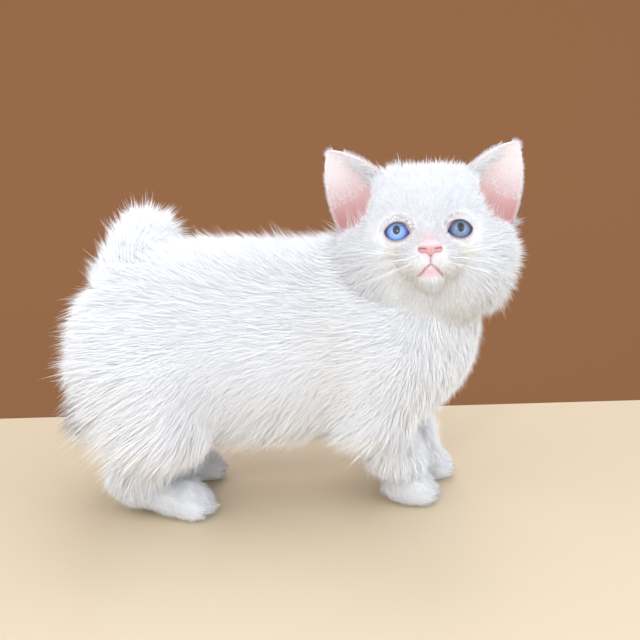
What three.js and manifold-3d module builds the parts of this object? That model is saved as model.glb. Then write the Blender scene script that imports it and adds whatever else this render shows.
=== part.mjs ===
// A munchkin kitten, life size, standing with its head turned to its right and its tail arched over its
// far hip. Millimetres. +X is the way the body points, +Y its left, +Z up; the floor is at zero.
// Each form is a distance field of the flesh. The coat's core is that field let out by half the coat's depth,
// and flat, tapered locks along the lie of the fur reach the coat's full depth.
import * as THREE from "three";
import { mergeVertices } from "three/addons/utils/BufferGeometryUtils.js";
import Module from "manifold-3d";

const wasm = await Module();
wasm.setup();

const vec = (x, y, z) => new THREE.Vector3(x, y, z);
const deg = THREE.MathUtils.degToRad;
const mix = THREE.MathUtils.lerp;

// Driving dimensions
const seam = 0.34; // gap between touching pieces
const trunk = { chestX: 24, bellyX: -20, rumpX: -53, middleZ: 73, halfWidth: 28, halfHeight: 39 };
const fullness = 3.2; // how far the flesh of the trunk stands out from its forms' own sizes
const coatDepth = {
  trunk: 6.8,
  belly: 9.8,
  rump: 9.8,
  leg: 5,
  paw: 1.5,
  tail: 10,
  face: 2.4,
  cheek: 6.5,
  eye: 0.9,
};
const coreShare = 0.5; // how much of the coat's depth the core takes
const headPlace = vec(59.5, -14, 118);
const headTurn = { yaw: -99.5, pitch: 18.5, roll: 3.2 };
const eye = { radius: 7, forward: 20.3, side: 11.4, up: 0.4, openWidth: 10.8, openHeight: 8.6, outward: 10 };
const lidThickness = 1.4;
const ear = { height: 32, halfWidth: 15, thickness: 1.5, sink: 6 };
const nose = { forward: 35.2, up: -7.9 };
const tail = { radius: 6.2, taper: 0.35 };
const toe = { count: 4, spacing: 4.1, length: 5.2, halfWidth: 2.9, height: 4.4 };
const bodyLocks = { length: 29, width: 19, rowStep: 20, step: 21.5, thickness: 0.28 };
const tailLocks = { length: 23, width: 12, rows: 5, around: 4 };
const cheekLocks = { length: 16, width: 11 };

// Mesh sizes of the wrapped forms
const cell = { body: 9.6, paw: 4.5, tail: 8, nape: 9, face: 6, muzzle: 3, nose: 1.5 };

const plain = (color, roughness) => new THREE.MeshStandardMaterial({ color, roughness, metalness: 0 });
const furMaterial = plain(0xf1f1f3, 0.9);
const earMaterial = plain(0xecc3bd, 0.8);
const noseMaterial = plain(0xe39a98, 0.45);
const eyeMaterial = plain(0x5c8fcf, 0.05);

const smooth = (value, from, to) => {
  const share = THREE.MathUtils.clamp((value - from) / (to - from), 0, 1);
  return share * share * (3 - 2 * share);
};
let seed = 7;
const random = () => {
  seed = (seed * 16807) % 2147483647;
  return seed / 2147483647;
};
const vary = (share) => 1 + share * (2 * random() - 1);

// Fields: each is a function of a point, negative inside
function oval(centre, radii, turn = new THREE.Quaternion()) {
  const back = turn.clone().invert();
  const q = vec(0, 0, 0);
  return (p) => {
    q.copy(p).sub(centre).applyQuaternion(back);
    const [a, b, c] = [q.x / radii.x, q.y / radii.y, q.z / radii.z];
    const near = Math.hypot(a, b, c);
    const slope = Math.hypot(a / radii.x, b / radii.y, c / radii.z);
    return slope < 1e-9 ? -Math.min(radii.x, radii.y, radii.z) : (near * (near - 1)) / slope;
  };
}

function limb(from, to, radiusFrom, radiusTo) {
  const along = to.clone().sub(from);
  const q = vec(0, 0, 0);
  return (p) => {
    q.copy(p).sub(from);
    const share = THREE.MathUtils.clamp(q.dot(along) / along.lengthSq(), 0, 1);
    return q.addScaledVector(along, -share).length() - mix(radiusFrom, radiusTo, share);
  };
}

function blend(soft, ...forms) {
  return (p) =>
    forms.reduce((sum, form) => {
      const d = form(p);
      const near = Math.max(soft - Math.abs(sum - d), 0) / soft;
      return Math.min(sum, d) - (near * near * soft) / 4;
    }, 1e3);
}

const letOut = (form, depth) => (p) => form(p) - (typeof depth === "function" ? depth(p) : depth);

function slopeOf(field, p) {
  const step = 0.05;
  const axes = [vec(step, 0, 0), vec(0, step, 0), vec(0, 0, step)];
  return vec(...axes.map((a) => (field(p.clone().add(a)) - field(p.clone().sub(a))) / (2 * step)));
}

// Where a line from inside a form leaves it
function leaves(field, from, direction, reach = 90) {
  let [inside, outside] = [0, reach];
  for (let pass = 0; pass < 24; pass++) {
    const middle = (inside + outside) / 2;
    if (field(from.clone().addScaledVector(direction, middle)) < 0) inside = middle;
    else outside = middle;
  }
  return from.clone().addScaledVector(direction, inside);
}

// A closed mesh on a field's zero surface: one vertex for each cell that the surface crosses, eased onto it
function wrap(field, low, high, size) {
  const count = ["x", "y", "z"].map((axis) => Math.ceil((high[axis] - low[axis]) / size) + 1);
  const index = (i, j, k) => (k * count[1] + j) * count[0] + i;
  const values = new Float32Array(count[0] * count[1] * count[2]);
  const edge = (i, n) => i === 0 || i === n - 1;
  for (let k = 0; k < count[2]; k++)
    for (let j = 0; j < count[1]; j++)
      for (let i = 0; i < count[0]; i++) {
        const value = field(vec(low.x + i * size, low.y + j * size, low.z + k * size));
        const border = edge(i, count[0]) || edge(j, count[1]) || edge(k, count[2]);
        values[index(i, j, k)] = border ? Math.max(value, size / 2) : value;
      }
  const corners = [0, 1, 2, 3, 4, 5, 6, 7].map((c) => [c & 1, (c >> 1) & 1, c >> 2]);
  const pairs = corners.flatMap((a, i) => [1, 2, 4].filter((bit) => !(i & bit)).map((bit) => [i, i | bit]));
  const vertexOf = new Int32Array(values.length).fill(-1);
  const points = [];
  for (let k = 0; k < count[2] - 1; k++)
    for (let j = 0; j < count[1] - 1; j++)
      for (let i = 0; i < count[0] - 1; i++) {
        const v = corners.map(([a, b, c]) => values[index(i + a, j + b, k + c)]);
        const middle = vec(0, 0, 0);
        let crossings = 0;
        for (const [a, b] of pairs) {
          if (v[a] < 0 === v[b] < 0) continue;
          const share = v[a] / (v[a] - v[b]);
          middle.add(vec(...corners[a]).lerp(vec(...corners[b]), share));
          crossings++;
        }
        if (!crossings) continue;
        middle.divideScalar(crossings).add(vec(i, j, k)).multiplyScalar(size).add(low);
        for (let pass = 0; pass < 3; pass++) {
          const slope = slopeOf(field, middle);
          const shift = -field(middle) / Math.max(slope.lengthSq(), 0.2);
          const eased = THREE.MathUtils.clamp(shift, -size / 4, size / 4);
          if (Math.abs(shift) < size) middle.addScaledVector(slope, eased);
        }
        vertexOf[index(i, j, k)] = points.length / 3;
        points.push(middle.x, middle.y, middle.z);
      }
  const faces = [];
  const around = [[0, 0], [1, 0], [1, 1], [0, 1]];
  for (let k = 0; k < count[2] - 1; k++)
    for (let j = 0; j < count[1] - 1; j++)
      for (let i = 0; i < count[0] - 1; i++)
        for (const axis of [0, 1, 2]) {
          const here = values[index(i, j, k)];
          const next = values[index(i, j, k) + [1, count[0], count[0] * count[1]][axis]];
          if (here < 0 === next < 0) continue;
          const ring = around.map(([a, b]) => {
            const at = [i, j, k];
            at[(axis + 1) % 3] -= a;
            at[(axis + 2) % 3] -= b;
            return vertexOf[index(...at)];
          });
          if (here >= 0) ring.reverse();
          faces.push(ring[0], ring[1], ring[2], ring[0], ring[2], ring[3]);
        }
  const made = new THREE.BufferGeometry();
  made.setAttribute("position", new THREE.Float32BufferAttribute(points, 3));
  made.setIndex(faces);
  return made;
}

// Between three.js geometry and closed solids
function solid(geometry) {
  const bare = new THREE.BufferGeometry();
  bare.setAttribute("position", geometry.getAttribute("position"));
  if (geometry.index) bare.setIndex(geometry.index);
  const joined = mergeVertices(bare, 1e-4);
  const mesh = new wasm.Mesh({
    numProp: 3,
    vertProperties: new Float32Array(joined.getAttribute("position").array),
    triVerts: new Uint32Array(joined.index.array),
  });
  return new wasm.Manifold(mesh);
}

function largest(made) {
  const pieces = made.decompose();
  return pieces.reduce((best, piece) => (piece.volume() > best.volume() ? piece : best), pieces[0]);
}

function meshOf(made, name, material) {
  const { vertProperties, triVerts } = made.getMesh();
  const geometry = new THREE.BufferGeometry();
  geometry.setAttribute("position", new THREE.BufferAttribute(new Float32Array(vertProperties), 3));
  geometry.setIndex(new THREE.BufferAttribute(new Uint32Array(triVerts), 1));
  geometry.computeVertexNormals();
  const mesh = new THREE.Mesh(geometry, material);
  mesh.name = name;
  return mesh;
}

const section = (field, low, high, size) => solid(wrap(field, vec(...low), vec(...high), size));
const ball = (centre, radii, around) =>
  solid(
    new THREE.SphereGeometry(1, around, Math.round(around * 0.64))
      .scale(radii.x, radii.y, radii.z)
      .translate(centre.x, centre.y, centre.z),
  );

// A cut is a plane that two neighbours share. Each keeps its own side of it, half a seam away.
const cut = (through, normal) => ({ through, normal: normal.normalize() });
const keep = (made, { through, normal }, side, gap = seam / 2) =>
  made.trimByPlane(normal.clone().multiplyScalar(side).toArray(), side * through.dot(normal) + gap);
const trimmed = (made, ...cuts) => cuts.reduce((rest, [plane, side]) => keep(rest, plane, side), made);
const without = (made, cutters) => cutters.reduce((rest, cutter) => rest.subtract(cutter), made);

// A round-ended rod for each step of a line of points
function rods(points, radius) {
  return points.slice(1).map((to, i) => {
    const along = to.clone().sub(points[i]);
    const shape = new THREE.CapsuleGeometry(radius, along.length(), 1, 5);
    shape.applyQuaternion(new THREE.Quaternion().setFromUnitVectors(vec(0, 1, 0), along.clone().normalize()));
    const middle = points[i].clone().addScaledVector(along, 0.5);
    return solid(shape.translate(middle.x, middle.y, middle.z));
  });
}

// Depth of the coat over the flesh, by place
const coat = (p) => {
  const rear = smooth(p.x, -45, -75);
  const under = smooth(p.z, 60, 38);
  const trunkDepth = mix(mix(coatDepth.trunk, coatDepth.belly, under), coatDepth.rump, rear);
  const limbDepth = mix(coatDepth.leg, coatDepth.paw, smooth(p.z, 26, 14));
  return mix(limbDepth, trunkDepth, smooth(p.z, 22, 42));
};

// The trunk
const trunkOval = (x, y, z, length, wider, taller) =>
  oval(vec(x, y, trunk.middleZ + z), vec(length, trunk.halfWidth + wider, trunk.halfHeight + taller));
const ribs = trunkOval(trunk.chestX, -2, 1, 43, -1, -2);
const belly = trunkOval(trunk.bellyX, 0, -1, 42, 1, 0);
const rump = trunkOval(trunk.rumpX, 0, 2, 31, -1, -6);
const breast = oval(vec(54, -3, 75), vec(25, 21, 27));
const neckForm = limb(vec(46, -3, 86), vec(58, -10, 110), 26, 22);
const trunkForm = blend(16, ribs, belly, rump, breast, neckForm);

// Legs: side is -1 on the right, 1 on the left
const foreLegs = {
  right: {
    side: -1,
    shoulder: vec(42, -20, 74),
    elbow: vec(37, -20, 48),
    wrist: vec(48, -15, 22),
    palm: vec(55, -12.5, 0),
    heading: -8,
  },
  left: {
    side: 1,
    shoulder: vec(48, 16, 74),
    elbow: vec(46, 18, 48),
    wrist: vec(60, 15, 22),
    palm: vec(68, 15, 0),
    heading: 4,
  },
};
const hindLegs = {
  right: {
    side: -1,
    hip: vec(-58, -17, 66),
    knee: vec(-52, -21, 44),
    hock: vec(-66, -16, 17),
    palm: vec(-45, -18.5, 0),
    heading: -20,
  },
  left: {
    side: 1,
    hip: vec(-56, 17, 66),
    knee: vec(-48, 22, 44),
    hock: vec(-64, 19, 17),
    palm: vec(-41, 23, 0),
    heading: 12,
  },
};

function pawForm({ palm, heading }) {
  const turn = new THREE.Quaternion().setFromAxisAngle(vec(0, 0, 1), deg(heading));
  const place = (x, y, z) => vec(x, y, z).applyQuaternion(turn).add(palm);
  const toes = [];
  for (let i = 0; i < toe.count; i++) {
    const across = i - (toe.count - 1) / 2;
    const centre = place(7.5 - 0.95 * across * across, across * toe.spacing, toe.height + 0.2);
    toes.push(oval(centre, vec(toe.length, toe.halfWidth, toe.height), turn));
  }
  const sole = oval(place(-2, 0, 6.2), vec(10, 7.8, 6), turn);
  return blend(4, sole, blend(1.4, ...toes));
}

const upperArmForm = ({ shoulder, elbow }) =>
  blend(9, oval(shoulder, vec(15, 13, 22)), limb(shoulder, elbow, 14, 11.5));
const forearmForm = (leg) =>
  blend(
    7,
    limb(leg.shoulder.clone().lerp(leg.elbow, 0.6), leg.elbow, 12, 11.5),
    limb(leg.elbow, leg.wrist, 11, 8.4),
    limb(leg.wrist, leg.palm.clone().setZ(8.5), 8.2, 7.6),
    pawForm(leg),
  );
const thighForm = ({ hip, knee }) => blend(9, oval(hip, vec(26, 14, 27)), limb(hip, knee, 18, 13.5));
const shankForm = (leg) =>
  blend(
    7,
    limb(leg.hip.clone().lerp(leg.knee, 0.5), leg.knee, 14, 13.5),
    limb(leg.knee, leg.hock, 13.5, 9),
    limb(leg.hock.clone().add(vec(0, 0, -5)), leg.palm.clone().setZ(8), 7.6, 7.2),
    pawForm(leg),
  );

const sides = ["right", "left"];
const upperForms = sides.flatMap((side) => [upperArmForm(foreLegs[side]), thighForm(hindLegs[side])]);
const bodyForm = blend(10, trunkForm, ...upperForms);
const trunkCore = letOut(bodyForm, (p) => {
  const raised = smooth(p.z, 24, 42);
  return fullness * raised + coat(p) * mix(1, coreShare, raised);
});
const legCoat = (p) => Math.min(coat(p), coatDepth.leg);
const legCores = {};
for (const side of sides) {
  legCores["fore" + side] = letOut(forearmForm(foreLegs[side]), legCoat);
  legCores["hind" + side] = letOut(shankForm(hindLegs[side]), legCoat);
}
const bodyCore = blend(6, trunkCore, ...Object.values(legCores));

// The tail rises from the rump, arches over to the left and hangs a little at its tip.
const tailLine = new THREE.CatmullRomCurve3([
  vec(-70, 0, 90),
  vec(-69, 1, 105),
  vec(-64, 6, 114),
  vec(-60, 18, 117),
  vec(-59, 33, 112),
  vec(-59, 46, 101),
  vec(-60, 57, 87),
]);
const tailSteps = 14;
const tailRadiusAt = (t) => tail.radius * (1 - tail.taper * t);
const tailPoints = tailLine.getSpacedPoints(tailSteps);
const tailStep = (point, i) =>
  limb(tailPoints[i], point, tailRadiusAt(i / tailSteps), tailRadiusAt((i + 1) / tailSteps));
const tailCore = letOut(blend(4, ...tailPoints.slice(1).map(tailStep)), coatDepth.tail * coreShare);

// The head, in its own frame: x forward, y to its left, z up
const headMatrix = new THREE.Matrix4()
  .makeTranslation(headPlace)
  .multiply(new THREE.Matrix4().makeRotationZ(deg(headTurn.yaw)))
  .multiply(new THREE.Matrix4().makeRotationY(-deg(headTurn.pitch)))
  .multiply(new THREE.Matrix4().makeRotationX(deg(headTurn.roll)));
const intoBody = (made) => made.transform(headMatrix.elements);
const eyePlace = (side) => vec(eye.forward, side * eye.side, eye.up);
const skull = oval(vec(-2, 0, 3.5), vec(31, 29.5, 26));
const brow = oval(vec(12, 0, 8), vec(17, 20, 16));
const cheek = (side) => oval(vec(4, side * 16, -9), vec(17, 16, 14));
const throat = (side) => oval(vec(3, side * 11, -13.5), vec(19, 19, 19));
const temple = (side) => oval(vec(-2, side * 13, 9), vec(22, 15, 18.5));
const bridge = limb(vec(20, 0, 0), vec(32, 0, -7), 7, 3.6);
const muzzle = oval(vec(22, 0, -11), vec(12, 11, 8.5));
const whiskerPad = (side) => oval(vec(28.6, side * 4.9, -12.4), vec(6, 5.4, 4.9));
const chin = oval(vec(26.5, 0, -17.6), vec(6, 5.2, 4.6));
const lidBulge = (side) => oval(eyePlace(side), vec(eye.radius + 0.8, eye.radius + 0.8, eye.radius + 0.4));
const headForm = blend(
  3.5,
  blend(9, skull, brow, muzzle, ...[temple, cheek, throat].flatMap((form) => [form(-1), form(1)])),
  blend(2.2, whiskerPad(-1), whiskerPad(1), chin),
  bridge,
  lidBulge(-1),
  lidBulge(1),
);
const faceCoat = (p) => {
  const aside = smooth(Math.abs(p.y), 14, 28) * smooth(p.z, 10, -6);
  const back = smooth(p.x, 14, -10);
  const fur = mix(coatDepth.face, coatDepth.cheek, Math.max(aside, back * 0.8));
  const toEye = Math.min(p.distanceTo(eyePlace(-1)), p.distanceTo(eyePlace(1)));
  const toNose = p.distanceTo(vec(nose.forward, 0, nose.up - 2));
  const bare = Math.min(smooth(toEye, eye.radius + 0.5, eye.radius + 6), smooth(toNose, 3, 10));
  return mix(coatDepth.eye, fur, bare);
};
const headCore = letOut(headForm, (p) => {
  const depth = faceCoat(p);
  return depth * mix(1, coreShare, smooth(depth, coatDepth.face + 0.6, coatDepth.cheek));
});
const headBox = [[-44, -44, -42], [48, 44, 38]];

// Three meshes of the one field, finest at the muzzle; each runs on a little past its neighbour.
function wrapHead(field) {
  const faceX = 10;
  const low = vec(faceX + 6, -15, -30);
  const high = vec(48, 15, -3);
  const boxOf = (inset) => {
    const size = high.clone().sub(low).subScalar(2 * inset);
    const middle = high.clone().add(low).divideScalar(2);
    return solid(new THREE.BoxGeometry(size.x, size.y, size.z).translate(middle.x, middle.y, middle.z));
  };
  const nape = section(field, ...headBox, cell.nape).trimByPlane([-1, 0, 0], -faceX - 0.3);
  const face = section(field, ...headBox, cell.face).trimByPlane([1, 0, 0], faceX);
  const front = section(field, ...headBox, cell.muzzle).intersect(boxOf(0));
  return nape.add(face.subtract(boxOf(0.3))).add(front);
}

// Locks: flat, tapered and bent along the lie of the coat, rooted in the core
function lock({ root, along, up, length, width, lift, sink }, grow = 0) {
  const shape = new THREE.ConeGeometry(1, 1, 4, 2);
  const position = shape.getAttribute("position");
  const aside = vec(0, 0, 0).crossVectors(along, up).normalize();
  for (let i = 0; i < position.count; i++) {
    const t = position.getY(i) + 0.5;
    const [x, z] = t > 0.999 ? [0, 0] : [position.getX(i) / (1 - t), position.getZ(i) / (1 - t)];
    const girth = (Math.pow(1 - t, 0.7) * width) / 2;
    const across = x * girth + Math.sign(Math.round(x * 9)) * grow;
    const thick = z * girth * bodyLocks.thickness + Math.sign(Math.round(z * 9)) * grow;
    const reach = length * t + (2 * t - 1) * grow;
    const rise = (lift + sink) * (1 - (1 - t) * (1 - t)) - sink;
    const place = root.clone().addScaledVector(along, reach).addScaledVector(up, rise + thick);
    place.addScaledVector(aside, across);
    position.setXYZ(i, place.x, place.y, place.z);
  }
  return solid(shape);
}
const flatten = (direction, normal) =>
  direction.clone().addScaledVector(normal, -direction.dot(normal)).normalize();

// The lie of the coat on the trunk: back along it, down the flanks and breast, and out behind
function lie(p) {
  const low = smooth(p.z, 84, 44);
  const front = smooth(p.x, 36, 66);
  const back = vec(-1, 0, 0.1 - 0.95 * low);
  return back.lerp(vec(-0.15, 0.1 * Math.sign(p.y), -1), front);
}

function bodyLock(p, normal, size = 1) {
  const deep = coat(p);
  const rear = smooth(p.x, -55, -85);
  return {
    root: p,
    up: normal,
    along: flatten(lie(p), normal),
    length: bodyLocks.length * size * vary(0.12) * mix(1, 0.62, rear),
    width: bodyLocks.width * size * vary(0.12),
    lift: deep * mix(0.42, 0.7, rear) * vary(0.2),
    sink: 3.2,
  };
}

// Rings of locks round an axis through the trunk, closed at both ends by shrinking rings
const trunkLocks = [];
const tailRoot = tailLine.getPoint(0.1);
const headCentre = headPlace.clone();
function ring(centre, tilt, from = -Math.PI, to = Math.PI, size = 1) {
  const radius = 42 * Math.cos(tilt);
  const count = Math.max(3, Math.round((radius * (to - from)) / bodyLocks.step));
  const turn = random();
  for (let i = 0; i < count; i++) {
    const angle = from + ((to - from) * (i + turn)) / count;
    const direction = vec(Math.sin(tilt), Math.cos(tilt) * Math.sin(angle), Math.cos(tilt) * Math.cos(angle));
    const p = leaves(trunkCore, centre, direction);
    if (p.z < 24 || p.distanceTo(tailRoot) < 20 || p.distanceTo(headCentre) < 44) continue;
    trunkLocks.push(bodyLock(p, slopeOf(trunkCore, p).normalize(), size));
  }
}
for (let x = 40; x >= -44; x -= bodyLocks.rowStep) ring(vec(x, -1, trunk.middleZ), 0);
for (const tilt of [0.28, 0.75, 1.25]) ring(vec(-50, 0, trunk.middleZ - 3), -tilt, -Math.PI, Math.PI, 0.92);
for (const tilt of [0.4, 0.85]) ring(vec(48, -3, 68), tilt, Math.PI * 0.35, Math.PI * 1.65, 0.85);

// Locks down the backs of the thighs
for (const side of sides) {
  const { hip, hock } = hindLegs[side];
  for (const t of [0.45, 0.8]) {
    const centre = hip.clone().lerp(hock, t);
    const direction = vec(-1, hindLegs[side].side * 0.35, 0).normalize();
    const p = leaves(trunkCore, centre, direction);
    trunkLocks.push({ ...bodyLock(p, direction, 1.05), along: vec(-0.35, 0, -1).normalize() });
  }
}

// Clearances: the same forms, a seam larger
const bodyBox = [[-114, -68, 8], [112, 64, 138]];
const kneeLevel = 27; // where the lower legs are cut off
const trunkClear = section(letOut(bodyCore, seam), ...bodyBox, cell.body);
const grownTrunkLocks = trunkLocks.map((piece) => lock(piece, seam));
const overlaps = (a, b) => {
  const [p, q] = [a.boundingBox(), b.boundingBox()];
  return [0, 1, 2].every((i) => p.min[i] < q.max[i] && q.min[i] < p.max[i]);
};
const clearOf = (made, cutters) => without(made, cutters.filter((cutter) => overlaps(made, cutter)));
const union = (pieces) => pieces.reduce((sum, piece) => sum.add(piece));

// The head with its lids, mouth and cheek ruffs
let head = wrapHead(headCore);
const headClear = [intoBody(section(letOut(headCore, 3 * seam), ...headBox, cell.nape))];
const cheekPieces = [];
for (const side of [-1, 1]) {
  for (const [row, count] of [[0, 3], [1, 2]]) {
    for (let i = 0; i < count; i++) {
      const angle = deg(mix(-8, 62, (i + 0.5 * row) / 3));
      const direction = vec(0.28 - 0.4 * row, side * Math.cos(angle), -Math.sin(angle)).normalize();
      const p = leaves(headCore, vec(2, side * 8, -6), direction);
      cheekPieces.push({
        root: p,
        up: slopeOf(headCore, p).normalize(),
        along: flatten(vec(-0.75, side * 0.25, -0.6), slopeOf(headCore, p).normalize()),
        length: cheekLocks.length * vary(0.15),
        width: cheekLocks.width * vary(0.1),
        lift: coatDepth.cheek * 0.45 * vary(0.2),
        sink: 2,
      });
    }
  }
}
head = union([head, ...cheekPieces.map((piece) => lock(piece))]);
headClear.push(...cheekPieces.map((piece) => intoBody(lock(piece, seam))));

const eyeNodes = [];
for (const side of [-1, 1]) {
  const place = eyePlace(side);
  const round = (radius) => ball(place, vec(radius, radius, radius), 12);
  const [w, h] = [(side * eye.openWidth) / 2, eye.openHeight / 2];
  const opening = new THREE.Shape();
  opening.moveTo(-w, -0.7);
  opening.bezierCurveTo(-w * 0.85, h * 1.15, w * 0.35, h * 1.5, w, 0.6);
  opening.bezierCurveTo(w * 0.8, -h * 1.25, -w * 0.45, -h * 1.3, -w, -0.7);
  const slot = new THREE.ExtrudeGeometry(opening, { depth: 14, bevelEnabled: false, curveSegments: 6 });
  slot.rotateX(Math.PI / 2).rotateZ(Math.PI / 2 + deg(side * eye.outward));
  slot.translate(place.x, place.y, place.z);
  head = head.add(round(eye.radius + lidThickness)).subtract(round(eye.radius + seam)).subtract(solid(slot));
  eyeNodes.push([side < 0 ? "eye_right" : "eye_left", round(eye.radius)]);
}

// Nose leather with its nostrils, set into the muzzle
const noseAt = (x, y, z) => vec(nose.forward + x, y, nose.up + z);
const noseForm = blend(
  1.2,
  oval(noseAt(0, 0, 0.3), vec(2.6, 3.4, 1.9)),
  oval(noseAt(-0.9, -2.9, -0.2), vec(2.5, 2, 1.7)),
  oval(noseAt(-0.9, 2.9, -0.2), vec(2.5, 2, 1.7)),
  oval(noseAt(-0.5, 0, -1.6), vec(2.3, 1.3, 1.5)),
);
const noseBox = [[28, -7, -15], [42, 7, -3]];
const nostril = (side) =>
  rods([noseAt(2.2, side * 2.1, -0.7), noseAt(1.4, side * 3.6, -0.5), noseAt(0.2, side * 5, -1)], 0.6);
const noseMade = without(section(noseForm, ...noseBox, cell.nose), [-1, 1].flatMap(nostril));
head = head.subtract(section(letOut(noseForm, seam), ...noseBox, cell.nose));

// Philtrum and mouth line, cut as thin furrows along the face
const onFace = (y, z) => leaves(headCore, vec(8, y, z), vec(1, 0, 0), 60);
const furrow = (points, radius) => rods(points.map(([y, z]) => onFace(y, z)), radius);
head = without(head, furrow([[0, -10.6], [0, -14.6]], 0.55));
for (const side of [-1, 1]) {
  head = without(head, furrow([[0, -14.2], [side * 2.6, -16.8], [side * 5, -19]], 0.65));
}

// Ears: a plate bent to a cup, wide and deep at its base
function earShell(side, grow = 0) {
  const base = vec(6, side * 25, 15);
  const axis = vec(-8, side * 16.5, 28).normalize();
  const open = vec(0.9, side * 0.34, -0.12);
  open.addScaledVector(axis, -open.dot(axis)).normalize();
  const across = vec(0, 0, 0).crossVectors(open, axis).normalize();
  const shape = new THREE.BoxGeometry(2, 1, 1, 7, 5, 1);
  const position = shape.getAttribute("position");
  for (let i = 0; i < position.count; i++) {
    const s = position.getX(i);
    const t = position.getY(i) + 0.5;
    const half = ear.halfWidth * Math.max(0.14, Math.pow(1 - Math.pow(t, 1.9), 0.8));
    const sweep = mix(1.25, 0.5, t);
    const round = half / Math.sin(sweep);
    const radius = round + position.getZ(i) * (ear.thickness + 2 * grow);
    const deep = radius * Math.cos(s * sweep) - round * Math.cos(sweep);
    const place = base.clone().addScaledVector(axis, mix(-ear.sink, ear.height, t) + (2 * t - 1) * grow);
    place.addScaledVector(across, radius * Math.sin(s * sweep) + grow * s).addScaledVector(open, -deep);
    position.setXYZ(i, place.x, place.y, place.z);
  }
  return intoBody(solid(shape));
}
headClear.push(earShell(-1, seam), earShell(1, seam));

const earHollow = (side, grow = 0) => ball(vec(8, side * 30, 12), vec(15 + grow, 9.5 + grow, 16 + grow), 14);
for (const side of [-1, 1]) head = head.subtract(earHollow(side));
const earClear = headClear[0].subtract(intoBody(union([earHollow(-1, -seam), earHollow(1, -seam)])));

// The trunk in one piece with its locks, then parted
const nodes = {};
const waistCut = cut(vec(12, 0, 0), vec(1, 0, 0));
const loinCut = cut(vec(-31, 0, 0), vec(1, 0, 0));
const neckCut = cut(vec(48, 0, 91), vec(0.35, -0.1, 0.93));
const floorCut = cut(vec(0, 0, 0), vec(0, 0, 1));
let rest = union([section(bodyCore, ...bodyBox, cell.body), ...trunkLocks.map((piece) => lock(piece))]);
rest = clearOf(rest, headClear);
const zones = sides.flatMap((side) => {
  const [fore, hind] = [foreLegs[side], hindLegs[side]];
  return [
    ["upper_arm_" + side, vec(fore.shoulder.x - 1, fore.side * 33, 62), vec(21, 21, 34)],
    ["thigh_" + side, vec(hind.hip.x - 2, hind.side * 35, 58), vec(30, 23, 36)],
  ];
});
// Each upper leg is cut out by a round-cornered prism that reaches in from the side.
const prism = (centre, radii) =>
  solid(
    new THREE.CylinderGeometry(1, 1, 2, 10)
      .scale(radii.x, radii.y, radii.z)
      .translate(centre.x, centre.y, centre.z),
  );
for (const [name, centre, radii] of zones) {
  nodes[name] = rest.intersect(prism(centre, radii));
  rest = rest.subtract(prism(centre, radii.clone().addScalar(seam)));
}
// Lower legs are cut off below the belly, each in its own box, and paws are wrapped finer.
const wristCut = (leg) => cut(leg.wrist.clone().setZ(15), vec(0.15, 0, -1));
const hockCut = (leg) => cut(leg.hock.clone().add(vec(5, 0, -1)), vec(0.2, 0, -0.98));
const legBox = (leg, low, high, grow) => {
  const size = vec(high - low + 2 * grow, 49.4 + 2 * grow, kneeLevel + 40 + grow);
  const shape = new THREE.BoxGeometry(size.x, size.y, size.z);
  return solid(shape.translate((low + high) / 2, leg.side * 25, kneeLevel + grow - size.z / 2));
};
for (const side of sides) {
  const [fore, hind] = [foreLegs[side], hindLegs[side]];
  const foreSpan = [fore.wrist.x - 20, fore.palm.x + 22];
  const hindSpan = [hind.hock.x - 18, hind.palm.x + 20];
  const lower = [
    ["forearm_", "front_paw_", fore, legCores["fore" + side], foreSpan, wristCut(fore)],
    ["shank_", "hind_paw_", hind, legCores["hind" + side], hindSpan, hockCut(hind)],
  ];
  for (const [shaft, paw, leg, field, [low, high], plane] of lower) {
    nodes[shaft + side] = keep(rest.intersect(legBox(leg, low, high, 0)), plane, -1);
    rest = rest.subtract(legBox(leg, low, high, seam));
    const pawBox = [[low - 4, leg.side * 25 - 26, -6], [high + 4, leg.side * 25 + 26, 24]];
    nodes[paw + side] = keep(keep(section(field, ...pawBox, cell.paw), plane, 1), floorCut, 1, 0);
  }
}
nodes.neck = trimmed(rest, [waistCut, 1], [neckCut, 1]);
nodes.chest = trimmed(rest, [waistCut, 1], [neckCut, -1]);
nodes.waist = trimmed(rest, [waistCut, -1], [loinCut, 1]);
nodes.rump = trimmed(rest, [loinCut, -1]);

// The tail in three lengths, with locks along it and a tuft at its tip
const tailPieces = [];
for (let row = 0; row < tailLocks.rows; row++) {
  const t = 0.2 + (0.78 * row) / (tailLocks.rows - 1);
  const onward = tailLine.getTangentAt(t);
  const first = vec(0, 0, 0).crossVectors(onward, vec(1, 0, 0.2)).normalize();
  for (let i = 0; i < tailLocks.around; i++) {
    const angle = ((i + 0.5 * (row % 2)) / tailLocks.around) * 2 * Math.PI;
    const direction = first.clone().applyAxisAngle(onward, angle);
    tailPieces.push({
      root: leaves(tailCore, tailLine.getPointAt(t), direction, 30),
      up: direction,
      along: onward,
      length: tailLocks.length * vary(0.12),
      width: tailLocks.width,
      lift: coatDepth.tail * 0.45 * vary(0.2),
      sink: 2.4,
    });
  }
}
const tailBare = section(tailCore, [-96, -29, 65], [-32, 84, 146], cell.tail);
const tailFurred = union([tailBare, ...tailPieces.map((piece) => lock(piece))]);
const tailWhole = clearOf(tailFurred, [trunkClear, ...grownTrunkLocks]);
const tailCuts = [0.42, 0.7].map((t) => cut(tailLine.getPointAt(t), tailLine.getTangentAt(t)));
nodes.tail_root = keep(tailWhole, tailCuts[0], -1);
nodes.tail_middle = trimmed(tailWhole, [tailCuts[0], 1], [tailCuts[1], -1]);
nodes.tail_end = keep(tailWhole, tailCuts[1], 1);

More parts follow.
